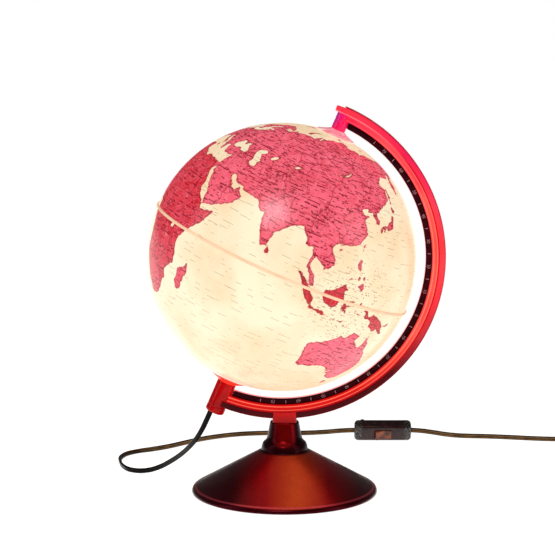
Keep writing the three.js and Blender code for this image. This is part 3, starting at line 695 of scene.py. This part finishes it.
def map_finish():
    """The printed, lit ball: land and sea from the coast distance, with fine strokes, borders and speckle."""
    g = Graph("globe_map")
    spot = g.attribute("globe", "Vector")
    coast = g.attribute("coast", "Fac")
    tone = g.attribute("tone", "Fac")
    x, y, z = g.parts(spot)
    up = g.math("ARCSINE", z)
    across = g.math("ARCTAN2", x, g.math("MULTIPLY", y, -1.0))
    squeeze = g.math("COSINE", up)
    ragged = g.band(g.noise(spot, 26.0, 5.0, 0.65), 0.0, 1.0, -1.1, 1.1)
    ice = g.band(z, -0.88, -0.86, 1.0, 0.0)
    edge = g.math("ADD", coast, ragged)
    land = g.band(edge, -0.14, 0.14)
    shore = g.math("MULTIPLY", g.band(edge, 0.1, 0.9, 1.0, 0.0), land)

    broad = g.noise(spot, 2.2)
    mottle = g.noise(spot, 9.0, 5.0, 0.7)
    speckle = g.noise(spot, 60.0, 4.0, 0.75)
    sea = g.mix(g.band(broad, 0.36, 0.64), linear("fff1cf"), linear("fcdcb2"))
    sea_strokes = dash_layer(g, across, up, squeeze, (6.0, 2.6), 0.3, 5.6, 0.42)
    sea_small = dash_layer(g, across, up, squeeze, (3.4, 1.9), 0.24, 2.6, 0.3)
    crowd = g.band(g.noise(spot, 4.5), 0.42, 0.58)
    sea = g.mix(g.math("MULTIPLY", sea_strokes, 0.5), sea, linear("8c8468"))
    sea = g.mix(g.math("MULTIPLY", g.math("MULTIPLY", sea_small, crowd), 0.6), sea, linear("847c60"))
    specks = dash_layer(g, across, up, squeeze, (1.9, 1.2), 0.36, 1.2, 0.55)
    islands = near_place(g, spot, 124, 0, 10, 24)
    sea = g.mix(g.math("MULTIPLY", g.math("MULTIPLY", specks, islands), 0.8), sea, linear("94504a"))

    deep = g.math("ADD", tone, g.band(mottle, 0.3, 0.7, -0.28, 0.28), clamp=True)
    ground = g.mix(deep, linear("ff6a80"), linear("d4001c"))
    dark_spots = g.math("MULTIPLY", g.band(speckle, 0.56, 0.66), g.band(deep, 0.1, 0.9, 0.3, 0.9))
    ground = g.mix(dark_spots, ground, linear("8e0018"))
    drift = g.add("ShaderNodeTexNoise", {"Vector": spot, "Scale": 7.0}, "Color")
    wander = g.vector("ADD", spot, g.vector("MULTIPLY", drift, (0.09, 0.09, 0.09)))
    border = g.voronoi(wander, 6.5, 0, feature="DISTANCE_TO_EDGE")
    small_border = g.voronoi(wander, 15.0, 0, feature="DISTANCE_TO_EDGE")
    ground = g.mix(g.band(border, 0.0, 0.035, 0.75, 0.0), ground, linear("a8102c"))
    ground = g.mix(g.band(small_border, 0.0, 0.03, 0.35, 0.0), ground, linear("ffb0b0"))
    busy = g.band(g.noise(spot, 3.6), 0.4, 0.56)
    for size, thick, longest, share in [((5.2, 2.1), 0.5, 6.0, 0.46), ((2.6, 1.3), 0.4, 2.4, 0.42)]:
        strokes = dash_layer(g, across, up, squeeze, size, thick, longest, share)
        ground = g.mix(g.math("MULTIPLY", strokes, 0.85), ground, linear("8a0620"))
    ground = g.mix(ice, ground, linear("fbe6cc"))
    rugged = g.noise(spot, 34.0, 5.0, 0.8)
    for longitude, latitude, spread in ((74, 37, 11), (97, 29, 8), (43, 41, 7), (10, 47, 12)):
        place = near_place(g, spot, longitude, latitude, spread * 0.3, spread)
        peaks = g.math("MULTIPLY", place, g.band(rugged, 0.5, 0.6, 0.0, 0.8))
        ground = g.mix(peaks, ground, linear("7c0c14"))
    dots = dash_layer(g, across, up, squeeze, (1.5, 3.2), 0.55, 1.3, 0.6)
    ground = g.mix(g.math("MULTIPLY", dots, g.math("MULTIPLY", busy, 0.9)), ground, linear("7c0418"))
    ground = g.mix(g.math("MULTIPLY", shore, 0.6), ground, linear("8c0418"))

    colour = g.mix(land, sea, ground)
    return g.finish({
        "Base Color": g.mix(0.7, colour, (0, 0, 0, 1)),
        "Emission Color": colour,
        "Emission Strength": 0.74,
        "Roughness": g.band(speckle, 0.3, 0.7, 0.26, 0.34),
        "Specular IOR Level": 0.4,
        "Normal": g.bump(speckle, 0.03),
    })


def hemisphere(name, sign, opening, finish, node):
    """One printed half shell: dense outside for the map, coarse inside."""
    columns, rows, inner_rows = 480, 112, 10
    rim, inner_r = 1.0, BALL_R - SHELL
    outside = np.linspace(math.asin(rim / BALL_R), math.acos(opening / BALL_R), rows)
    inside = np.linspace(math.acos(opening / inner_r), math.asin(rim / inner_r), inner_rows)
    outer = [(BALL_R * math.cos(a), BALL_R * math.sin(a)) for a in outside]
    inner = [(inner_r * math.cos(a), inner_r * math.sin(a)) for a in inside]
    profile = np.array(outer + inner)
    if sign < 0:
        profile = profile[::-1] * (1, -1)
    points, faces = turned(profile, columns)
    points = points.reshape(-1, 3)
    made = piece(name, on_axis(points), faces, finish, "ball", [node], sharp=50, weld=False)
    directions = points / np.linalg.norm(points, axis=1)[:, None]
    coast, tone = chart(directions)
    point_values(made, "coast", "FLOAT", coast)
    point_values(made, "tone", "FLOAT", tone)
    point_values(made, "globe", "FLOAT_VECTOR", directions)


def on_ball(radius, more):
    """Height of the ball's surface, grown by more, at a radius from the axis."""
    return math.sqrt((BALL_R + more) ** 2 - radius ** 2)


def cap_finish():
    """Clear pink plastic with a painted glow, as if lit through from the globe, with cloudy white places."""
    g = Graph("pale_flange")
    where = g.place()
    cloudy = g.noise(where, 90.0, 2.0)
    colour = g.mix(g.band(cloudy, 0.42, 0.66), linear("ee8090"), linear("ffd0d2"))
    return g.lit_through(where, cloudy, colour, 0.42, (0.12, 0.2))


def make_ball():
    printed = map_finish()
    hemisphere("map_north", 1, NORTH_OPENING, printed, "hemisphere_north")
    hemisphere("map_south", -1, SOUTH_OPENING, printed, "hemisphere_south")
    seam = moulded("seam_plastic", "b89878", "ceb090", 0.4, 40, 0.05,
                   Emission_Color=linear("dcb494"), Emission_Strength=0.6)
    inner, skin, proud = BALL_R - SHELL, BALL_R + 0.3, BALL_R + 1.5
    band = [
        (inner, -0.7), (skin, -0.7), (skin, -1.5), (proud, -1.1),
        (proud, 1.1), (skin, 1.5), (skin, 0.7), (inner, 0.7),
    ]
    points, faces = turned(softened(band, 0.35), 240)
    piece("seam_band", on_axis(points), faces, seam, "ball", ["equator_band"])
    cap = [
        (2.9, on_ball(2.9, 0.3)), (10, on_ball(10, 0.3)), (19, on_ball(19, 0.3)), (19.3, on_ball(19.3, 1.1)),
        (15, 131.1), (11, 132.5), (8.6, 133.7), (8, 134.3), (2.9, 134.3),
    ]
    points, faces = turned(softened(cap, 0.6), 96)
    piece("pole_cap", on_axis(points), faces, cap_finish(), "ball", ["north_flange"])


# Arm
ARM_HALF = [
    (139, 2.2), (145.5, 2.2), (145.5, 7.2), (146.3, 7.6), (147.6, 7.1), (150.4, 7.1),
    (151.5, 7.6), (152.3, 7.4), (152.3, 9.9), (152.9, 10.2), (157.3, 10.2), (158.3, 9.2),
]
ARM_LEDGE = 151.3
ARM_MIDDLE = 155
ARM_OUT = 158.3
ARM_END_OUT = 156.4
ARM_ROUND = 10.2
POST_SPACE = 7.3
HUB_SPACE = 9.8
ARM_STEPS = 150


def arm_piece(finish):
    """The stepped half ring, its round end over the post and its hollow end around the housing."""
    section = softened([(r, -w) for r, w in ARM_HALF] + ARM_HALF[::-1], 0.6, 3)
    radius, width = section[:, 0], section[:, 1]
    angles = [math.degrees(math.asin(x / ARM_MIDDLE)) for x in (-10.15, -9.6, -8.4, -6.5, -4.2, -2.05)]
    stations = []

    def station(angle, low=0, high=1000, end_round=False):
        """The section at an angle from the top, held between two radii and within the round end."""
        r = np.clip(radius, low, high)
        along = r * math.sin(math.radians(angle))
        w = width.copy()
        if end_round:
            reach = np.sqrt(np.maximum(ARM_ROUND ** 2 - np.minimum(along, 0) ** 2, 0.04))
            w = np.clip(w, -reach, reach)
        stations.append(np.stack([along, w, r * math.cos(math.radians(angle))], -1))

    for angle in angles:
        station(angle, ARM_LEDGE, ARM_END_OUT, True)
    start = math.degrees(math.asin(-2.0 / ARM_MIDDLE))
    clear = math.degrees(math.asin(7.25 / 148))
    for angle in (start, *np.linspace(start + 0.4, clear, 4)):
        station(angle, ARM_LEDGE, ARM_OUT, True)
    around_post = np.sqrt(np.maximum(POST_SPACE ** 2 - width ** 2, 9))
    along = np.where(radius < ARM_LEDGE, around_post, radius * math.sin(math.radians(clear)))
    stations.append(np.stack([along, width, np.sqrt(radius ** 2 - along ** 2)], -1))
    for angle in np.linspace(clear + 0.8, 180 - 4.4, ARM_STEPS):
        station(angle)
    along = np.sqrt(np.maximum(HUB_SPACE ** 2 - width ** 2, 9.0))
    stations.append(np.stack([along, width, -np.sqrt(radius ** 2 - along ** 2)], -1))
    faces = tube_faces(len(stations), len(section))
    piece("arm", on_axis(stations), faces, finish, "stand", ["meridian_arm"], sharp=30)


def arm_finish():
    """Clear red plastic with a painted glow: dark where it is thin and printed over, bright in the body, with
    painted light and shade by height, painted highlight lines and painted shade at the edges.
    """
    g = Graph("arm_plastic")
    where = g.place()
    middle = g.vector("SUBTRACT", where, tuple(BALL * MM))
    out = g.add("ShaderNodeVectorMath", {0: middle}, "Value", operation="LENGTH")
    cloudy = g.noise(where, 25.0)
    height = g.parts(middle)[2]
    thick = g.band(cloudy, 0.3, 0.7)
    body = g.mix(thick, linear("ea3c3c"), linear("fa5a50"))
    # Painted light and shade by height on the body: deeper crimson higher up, painted shade at the bottom
    body = g.mix(g.band(height, 0.02, 0.13), body, g.mix(thick, linear("d01c40"), linear("e83a4c")))
    body = g.mix(g.band(height, -0.13, -0.07, 1.0, 0.0), body, linear("c40c10"))
    flange = g.mix(thick, linear("d82832"), linear("ea4048"))
    # Painted light and shade by height on the flange: deeper crimson higher up, a painted highlight at the
    # top, painted near-black shade at the bottom
    flange = g.mix(g.band(height, 0.02, 0.1), flange, linear("cc1844"))
    flange = g.mix(g.band(height, 0.1, 0.14), flange, linear("f02c40"))
    shaded = g.mix(thick, linear("2a0206"), linear("480308"))
    flange = g.mix(g.band(height, -0.115, -0.03, 1.0, 0.0), flange, shaded)
    # Painted shadow line along the step between body and flange, turning to a painted highlight near the top
    step_shadow_line = g.band(g.far_from(out, 0.1519), 0.0004, 0.0009, 1.0, 0.0)
    web = g.mix(thick, linear("2a030c"), linear("400512"))
    colour = g.mix(g.band(out, 0.1522, 0.1526), body, flange)
    colour = g.mix(step_shadow_line, colour, g.mix(g.band(height, 0.09, 0.13), linear("b00c1c"), linear("ff7480")))
    # Painted highlight lines along the two ridges of the body, fading towards the top
    for ridge, amount in ((0.1471, 0.65), (0.1507, 0.45)):
        painted_glint = g.band(g.far_from(out, ridge), 0.0002, 0.0007, amount, 0.0)
        painted_glint = g.math("MULTIPLY", painted_glint, g.band(height, 0.0, 0.12, 1.0, 0.25))
        colour = g.mix(painted_glint, colour, linear("ff8464"))
    # Painted shade along the rounded outer edge
    colour = g.mix(g.band(out, 0.1570, 0.1580, 0.0, 0.7), colour, linear("7a0814"))
    colour = g.mix(g.band(out, 0.1453, 0.1456), web, colour)
    # Painted highlight along the inner edge
    colour = g.mix(g.band(out, 0.1396, 0.1400), linear("f0a0a8"), colour)
    return g.lit_through(where, cloudy, colour, 0.52, (0.12, 0.18), {"Specular IOR Level": 0.06})


# The latitude scale: a strip's radii, its distances from the middle of the web, and its two ends
STRIP_INNER, STRIP_MIDDLE, STRIP_OUTER = 139.3, 142, 145.2
STRIP_BACK, STRIP_FACE = 2.5, 3.2
STRIP_START, STRIP_END = 7.8, 11.0


def scale_strip(name, side, finish, node):
    """A thin printed strip along the web."""
    back, face = side * STRIP_BACK, side * STRIP_FACE
    profile = [(STRIP_INNER, back), (STRIP_OUTER, back), (STRIP_OUTER, face), (STRIP_INNER, face)]
    if side < 0:
        profile = profile[::-1]
    section = softened(profile, 0.15, 2)
    start = math.degrees(math.asin(STRIP_START / STRIP_MIDDLE))
    end = 180 - math.degrees(math.asin(STRIP_END / STRIP_MIDDLE))
    angle = np.radians(np.linspace(start, end, ARM_STEPS))[:, None]
    points = np.stack([
        section[:, 0] * np.sin(angle),
        np.broadcast_to(section[:, 1], (len(angle), len(section))),
        section[:, 0] * np.cos(angle),
    ], -1)
    faces = tube_faces(len(angle), len(section))
    piece(name, on_axis(points), faces, finish, "stand", [node], sharp=30)


def glyph(text, height):
    """Flat outline of a number in millimetres, centred, from Blender's own font."""
    curve = bpy.data.curves.new("glyph", "FONT")
    curve.body = text
    curve.size = height * 1.45
    curve.align_x, curve.align_y = "CENTER", "CENTER"
    curve.resolution_u = 3
    holder = bpy.data.objects.new("glyph", curve)
    scene.collection.objects.link(holder)
    flat = bpy.data.meshes.new_from_object(holder.evaluated_get(bpy.context.evaluated_depsgraph_get()))
    points = np.array([v.co for v in flat.vertices], float).reshape(-1, 3)
    faces = [list(f.vertices) for f in flat.polygons]
    bpy.data.objects.remove(holder)
    bpy.data.curves.remove(curve)
    bpy.data.meshes.remove(flat)
    return points, faces


def scale_marks(name, side, finish):
    """Ticks and numbers of the latitude scale, standing a hair above the strip."""
    points, faces = [], []

    def add(flat, flat_faces, polar, radius):
        """flat: x along the arc, y outwards; given a front and a rim so that it is a solid."""
        a = math.radians(polar)
        out, along = np.array([math.sin(a), 0, math.cos(a)]), np.array([math.cos(a), 0, -math.sin(a)])
        base = len(points)
        count = len(flat)
        turn = 1 if side < 0 else -1
        for lift in (0.12, -0.05):
            for x, y in flat:
                at = out * (radius + y) + along * x * turn
                points.append((at[0], side * (STRIP_FACE + lift), at[2]))
        edges = {}
        for face in flat_faces:
            faces.append([base + i for i in face])
            faces.append([base + count + i for i in reversed(face)])
            for i, j in zip(face, face[1:] + face[:1]):
                edges[(i, j)] = True
        for i, j in edges:
            if (j, i) not in edges:
                faces.append([base + j, base + i, base + count + i, base + count + j])

    for degrees in range(-75, 80, 5):
        polar = 90 - degrees
        if degrees % 10:
            bar = [(-0.32, -1.5), (0.32, -1.5), (0.32, 1.5), (-0.32, 1.5)]
            add(bar, [[0, 1, 2, 3]], polar, 142.6)
        else:
            flat, flat_faces = glyph(str(abs(degrees)), 2.9)
            add(flat[:, :2], flat_faces, polar, 142.5)
            bar = [(-0.2, 0), (0.2, 0), (0.2, 0.9), (-0.2, 0.9)]
            add(bar, [[0, 1, 2, 3]], polar, 139.5)
    piece(name, on_axis(points), faces, finish, "stand", sharp=30)


def post_finish():
    """Clear magenta plastic with a painted glow, running to purple at its upper end."""
    g = Graph("post_plastic")
    where = g.place()
    cloudy = g.noise(where, 120.0)
    rise = g.add("ShaderNodeVectorMath", {0: where, 1: (-0.75, 0.0, 0.66)}, "Value", operation="DOT_PRODUCT")
    purple = g.math("ADD", g.band(rise, 0.2012, 0.2092), g.band(cloudy, 0.3, 0.7, -0.15, 0.15), clamp=True)
    colour = g.mix(purple, linear("d41050"), linear("8c2088"))
    return g.lit_through(where, cloudy, colour, 0.45, (0.12, 0.2), {"Specular IOR Level": 0.2})


def make_arm():
    arm_piece(arm_finish())
    strip = moulded("scale_print", "220208", "3a040e", 0.4, 120, 0.05, Specular_IOR_Level=0.04)
    pale = moulded("scale_ink", "946472", "b4848e", 0.5, 200, 0.03)
    for name, side, node in (("front", -1, "scale_front"), ("back", 1, "scale_back")):
        scale_strip("strip_" + name, side, strip, node)
        scale_marks("marks_" + name, side, pale)
    profile = [
        (2.8, 134.6), (6.5, 134.6), (7, 135.1), (7, 142.6), (6.8, 143.1), (6.8, 143.9),
        (7, 144.4), (7, 151), (2.8, 151),
    ]
    points, faces = turned(softened(profile, 0.3), 72)
    piece("post", on_axis(points), faces, post_finish(), "stand", ["north_post"])


# Lamp end
def make_lamp_end():
    # Painted glow: the flange's emission stands in for light from the globe's lamp
    glow = moulded("flange_plastic", "e01814", "f43c2c", 0.16, 60, 0.03, Specular_IOR_Level=0.25,
                   Emission_Color=linear("f83424"), Emission_Strength=0.5)
    flange = [
        (7.6, -134.6), (9.5, -134.6), (10.2, -134.3), (12.5, -132.9), (19.5, -on_ball(19.5, 1.2)),
        (19.5, -on_ball(19.5, 0.6)), (11.5, -on_ball(11.5, 0.6)), (11.5, -121), (7.6, -121),
    ]
    points, faces = turned(softened(flange, 0.4), 96)
    piece("flared_flange", on_axis(points), faces, glow, "stand", ["south_flange"])
    # Painted glow: the housing's emission stands in for light from the lamp
    red = moulded("housing_plastic", "7c0206", "a80808", 0.14, 60, 0.03, Specular_IOR_Level=0.12,
                  Emission_Color=linear("980305"), Emission_Strength=0.5)
    outer = [
        (3.3, -167), (8.1, -167), (9.5, -165.6), (9.5, -161), (9.2, -160.6), (9.2, -159.9), (9.5, -159.5),
        (9.5, -134.9), (7.5, -134.9), (7.5, -164.6), (3.3, -164.6),
    ]
    points, faces = turned(softened(outer, 0.35), 96)
    points = points.copy()
    inner = np.hypot(points[..., 0], points[..., 1]) < 4.2
    points[..., 0] = np.where(inner, points[..., 0] - 3.5, points[..., 0])
    piece("housing", on_axis(points), faces, red, "stand", ["lamp_housing"])


# Stand
def stand_finish():
    """Dark red, half metallic plastic: a painted warm reflection of the globe in the middle, painted shade
    darker to the sides, a painted glow on the collar, and painted shade on the rim wall under a painted
    highlight line.
    """
    g = Graph("stand_plastic")
    where = g.place()
    cloudy = g.noise(where, 18.0)
    x, _, height = g.parts(where)
    # Painted reflection of the lit globe: warm in the middle, painted shade darker to the sides
    off = g.far_from(x, 0.012)
    off_collar = g.math("ABSOLUTE", x)
    body = g.mix(g.band(cloudy, 0.3, 0.7), linear("a03418"), linear("b84422"))
    body = g.mix(g.band(off, 0.004, 0.030), body, linear("8e0c14"))
    body = g.mix(g.band(off, 0.024, 0.062), body, linear("44040f"))
    # Painted glow down the middle of the collar
    lit = g.math("MULTIPLY", g.band(off_collar, 0.004, 0.012, 1.0, 0.0), g.band(height, 0.046, 0.056))
    collar = g.mix(lit, linear("26020a"), linear("860608"))
    body = g.mix(g.band(height, 0.041, 0.0425), body, collar)
    # Painted shade on the rim wall, and a painted highlight along the rim's top edge
    body = g.mix(g.band(height, 0.0048, 0.0056, 1.0, 0.0), body, linear("3c020c"))
    edge = g.band(g.far_from(height, 0.0063), 0.0002, 0.0008, 0.8, 0.0)
    body = g.mix(edge, body, linear("c04454"))
    return g.finish({
        "Base Color": body,
        "Metallic": 0.75,
        "Specular IOR Level": 0.08,
        "Roughness": g.band(g.noise(where, 160.0), 0.3, 0.7, 0.26, 0.34),
        "Normal": g.bump(g.noise(where, 300.0), 0.015),
    })


def make_stand():
    shell = [
        (87.4, 0.6), (91, 0.8), (91.4, 2.6), (90.2, 5), (87.2, 6.6), (27.5, 40.2), (22.9, 43), (22.5, 46.5),
        (21.2, 50), (18.4, 52.4), (16.9, 55.6), (14.2, 70.2), (13.6, 71), (12.1, 71), (12.1, 50),
        (2.4, 50), (2.4, 46.8), (12, 45.8), (21, 40), (84.5, 5), (87.4, 3.2),
    ]
    points, faces = turned(softened(shell, 1.2), 192)
    piece("cone", upright(points), faces, stand_finish(), "stand", ["base_shell"])


CORNERS = [(1, 1), (-1, 1), (-1, -1), (1, -1)]


def saddle_finish():
    """Clear red plastic with a painted glow that fades downwards into painted shade."""
    g = Graph("stem_plastic")
    where = g.place()
    cloudy = g.noise(where, 60.0)
    height = g.parts(where)[2]
    # Painted glow at the top fading to painted shade at the bottom
    colour = g.mix(g.band(height, 0.066, 0.080), linear("480206"), linear("b00408"))
    base = g.mix(g.band(cloudy, 0.3, 0.7, 0.0, 0.3), colour, linear("78040a"))
    own = {"Base Color": base, "Specular IOR Level": 0.12}
    return g.lit_through(where, cloudy, colour, 0.5, (0.14, 0.22), own)


def make_saddle():
    """The block under the arm, with rounded upright edges, a channel for the flange, and the spigot."""
    half_x, half_y, corner = 11.8, 12.3, 4.0
    outline = []
    for quarter, (sx, sy) in enumerate(CORNERS):
        for k in range(9):
            angle = math.radians(90 * quarter + 90 * k / 8)
            outline.append((sx * (half_x - corner) + corner * math.cos(angle),
                            sy * (half_y - corner) + corner * math.sin(angle)))
    levels = [(0.93, 71.4), (0.98, 71.7), (1.0, 72.3), (1.0, 86.0)]
    rings = np.array([[(x * size, y * size, z) for x, y in outline] for size, z in levels])
    points, faces = capped(rings)
    block = loose("saddle", upright(points), faces)
    half = [(100, 30), (152, 30), (152, 10.5), (158.6, 10.5)]
    section = [(r, -w) for r, w in half] + half[::-1]
    points, faces = turned(section, 180)
    channel = points[..., [0, 2, 1]] + BALL
    carved(block, "DIFFERENCE", loose("channel", upright(channel), [face[::-1] for face in faces]))
    points, faces = turned(softened([(2.1, 50.3), (11.8, 50.3), (11.8, 73), (2.1, 73)], 0.4), 96)
    carved(block, "UNION", loose("spigot", upright(points), faces))
    dressed(block, saddle_finish(), "stand", ["arm_stem"])


# Inline switch: X along the cord, -Y the rocker's face, Z across
SWITCH_AT = np.array((107.6, 220.5, 10.9))
SWITCH_ROLL = math.radians(25)
SWITCH_HALF = np.array((31, 7.75, 10.25))
SWITCH_WALL = 2.0
PARTING = 0.15


def in_switch(points):
    """Points of the switch's own frame in millimetres, as metres of the row frame."""
    c, s = math.cos(SWITCH_ROLL), math.sin(SWITCH_ROLL)
    turn = np.array([[1, 0, 0], [0, c, -s], [0, s, c]])
    return (np.asarray(points, float).reshape(-1, 3) @ turn.T + SWITCH_AT) * MM


def rounded_box(name, low, high, radius, steps=6):
    """A box in the switch's frame with all its edges and corners rounded."""
    low, high = np.array(low, float), np.array(high, float)
    middle, core = (low + high) / 2, (high - low) / 2 - radius
    rings = []
    for up, first in ((-1, -90), (1, 0)):
        for i in range(steps + 1):
            tilt = math.radians(first + 90 * i / steps)
            ring = []
            for quarter, sides in enumerate(CORNERS):
                for k in range(steps + 1):
                    turn = math.radians(90 * (quarter + k / steps))
                    flat = math.cos(tilt)
                    normal = np.array((flat * math.cos(turn), flat * math.sin(turn), math.sin(tilt)))
                    ring.append(middle + core * (*sides, up) + radius * normal)
            rings.append(ring)
    points, faces = capped(np.array(rings))
    return loose(name, in_switch(points), faces)


def rod_along(name, radius, low, high):
    """A rod along the switch's X."""
    angle = np.arange(32) * 2 * math.pi / 32
    across, up = radius * np.cos(angle), radius * np.sin(angle)
    rings = np.array([np.stack([np.full(32, at), across, up], -1) for at in (low, high)])
    points, faces = capped(rings)
    return loose(name, in_switch(points), faces)


def smoky_finish(name):
    """Smoky clear plastic: darker and browner in the middle, grey and mottled at both ends."""
    g = Graph(name)
    where = g.place()
    off = g.far_from(g.parts(where)[0], SWITCH_AT[0] * MM)
    speckle = g.noise(where, 700.0)
    ends = g.mix(g.band(speckle, 0.46, 0.62), linear("1c1818"), linear("a09894"))
    middle = g.mix(g.band(g.noise(where, 160.0), 0.35, 0.65), linear("2c1a20"), linear("64383a"))
    return g.finish({
        "Base Color": g.mix(g.band(off, 0.0215, 0.024), middle, ends),
        "Transmission Weight": 0.7,
        "IOR": 1.45,
        "Specular IOR Level": 0.3,
        "Roughness": g.band(speckle, 0.3, 0.7, 0.08, 0.16),
        "Normal": g.bump(speckle, 0.03),
    })


def make_switch():
    """Two hollow halves that meet at a parting line, with the rocker's window and the cord's two entries."""
    clear = smoky_finish("switch_plastic")
    shells = []
    space = SWITCH_HALF - SWITCH_WALL
    for name, near, far in [("shell_front", -20, -PARTING), ("shell_back", PARTING, 20)]:
        shell = rounded_box(name, -SWITCH_HALF, SWITCH_HALF, 4.6)
        carved(shell, "INTERSECT", rounded_box("half", (-50, near, -20), (50, far, 20), 0.01, 1))
        # Sharp inner corners leave room for the ends of the rocker's pivot
        hollow = rounded_box("hollow", -space, space, 0.6)
        carved(shell, "DIFFERENCE", hollow, rod_along("entries", 3.2, -40, 40))
        shells.append(shell)
    carved(shells[0], "DIFFERENCE", rounded_box("window", (-9.6, -20, -5.8), (9.6, -1, 5.8), 0.9, 4))
    dressed(shells[0], clear, "stand", ["switch_front"], 30)
    dressed(shells[1], clear, "stand", ["switch_back"], 30)
    return shells


make_ball()
make_arm()
make_lamp_end()
make_stand()
make_saddle()
switch_shells = make_switch()

# Pieces carried over from the solid model
steel = brushed("steel", "9a9ca2", "c6c8cc", 0.3)
iron = moulded("cast_iron", "34363a", "565a60", 0.6, 90, 0.4, Metallic=1.0)
brass = brushed("brass", "a07c34", "d8b060", 0.28)
white = moulded("white_plastic", "dcdad2", "efede6", 0.38, 70, 0.05)
glass = moulded("lamp_glass", "fff0d8", "fffaf0", 0.08, 40, 0.01, Transmission_Weight=0.8, IOR=1.45,
                Emission_Color=linear("ffe8c0"), Emission_Strength=0.6)
foam = moulded("foot_foam", "120c0e", "2a2022", 0.9, 400, 0.6)
inner_sheath = moulded("inner_sheath", "3c2414", "8a6238", 0.28, 90, 0.05)
smoky = moulded("smoky_plastic", "5c4a48", "7c625a", 0.12, 70, 0.03, Transmission_Weight=0.85, IOR=1.45)
rocker_brown = moulded("rocker_plastic", "3c1408", "8a4420", 0.2, 160, 0.04)
clamp_grey = moulded("clamp_plastic", "75737a", "94929a", 0.45, 120, 0.08)

CARRIED = {
    "base_screw": steel, "base_washer": steel, "north_pin": steel, "bulb_cap": steel,
    "switch_screw_1": steel, "switch_screw_2": steel, "base_weight": iron,
    "socket_shell": brass, "socket_contact": brass, "switch_contact_1": brass, "switch_contact_2": brass,
    "plug_pin_1": brass, "plug_pin_2": brass,
    "lamp_holder": white, "cord_grip": white, "south_ring": white, "cord_tie": white,
    "bulb_glass": glass, "base_pad": foam, "cord_inner": inner_sheath,
    "plug_body": smoky, "switch_rocker": rocker_brown,
    "switch_clamp_1": clamp_grey, "switch_clamp_2": clamp_grey,
}
for name, finish in CARRIED.items():
    nodes[name].data.materials.clear()
    nodes[name].data.materials.append(finish)


# Floor and light
FLOOR_REACH = 40.0
LIGHTS_AIM = Vector((0, 0, 0.2))


def make_studio():
    g = Graph("floor")
    where = g.place()
    tone = g.noise(where, 3.0)
    sheet = g.finish({
        "Base Color": g.mix(g.band(tone, 0.3, 0.7), linear("e4e3e2"), linear("e8e7e6")),
        "Emission Color": (1.0, 1.0, 1.0, 1.0),
        "Emission Strength": 0.92,
        "Roughness": g.band(tone, 0.3, 0.7, 0.75, 0.85),
        "Specular IOR Level": 0.1,
    })
    data = bpy.data.meshes.new("floor")
    corners = [(FLOOR_REACH * x, FLOOR_REACH * y, 0) for x, y in CORNERS[2:] + CORNERS[:2]]
    data.from_pydata(corners, [], [[0, 1, 2, 3]])
    data.materials.append(sheet)
    floor = bpy.data.objects.new("floor", data)
    scene.collection.objects.link(floor)

    world = bpy.data.worlds.new("studio")
    world.use_nodes = True
    sky = world.node_tree.nodes["Background"]
    sky.inputs["Color"].default_value = (1, 1, 1, 1)
    sky.inputs["Strength"].default_value = 0.1
    scene.world = world

    lights = [
        ("key", (-0.17, -1.05, 1.29), 0.42, 0.42, 9.0, (1, 0.98, 0.96)),
        ("right", (1.1, -0.5, 0.5), 0.4, 1.0, 3.0, (1, 0.97, 0.93)),
        ("left", (-1.2, -0.3, 0.7), 0.4, 1.0, 3.0, (0.95, 0.96, 1)),
    ]
    for name, at, wide, tall, power, tint in lights:
        lamp = bpy.data.lights.new(name, "AREA")
        lamp.shape = "RECTANGLE"
        lamp.size, lamp.size_y = wide, tall
        lamp.energy = power
        lamp.color = tint
        holder = bpy.data.objects.new(name, lamp)
        holder.location = at
        holder.rotation_euler = (LIGHTS_AIM - Vector(at)).to_track_quat("-Z", "Y").to_euler()
        scene.collection.objects.link(holder)
    scene.view_settings.view_transform = "Standard"


make_studio()
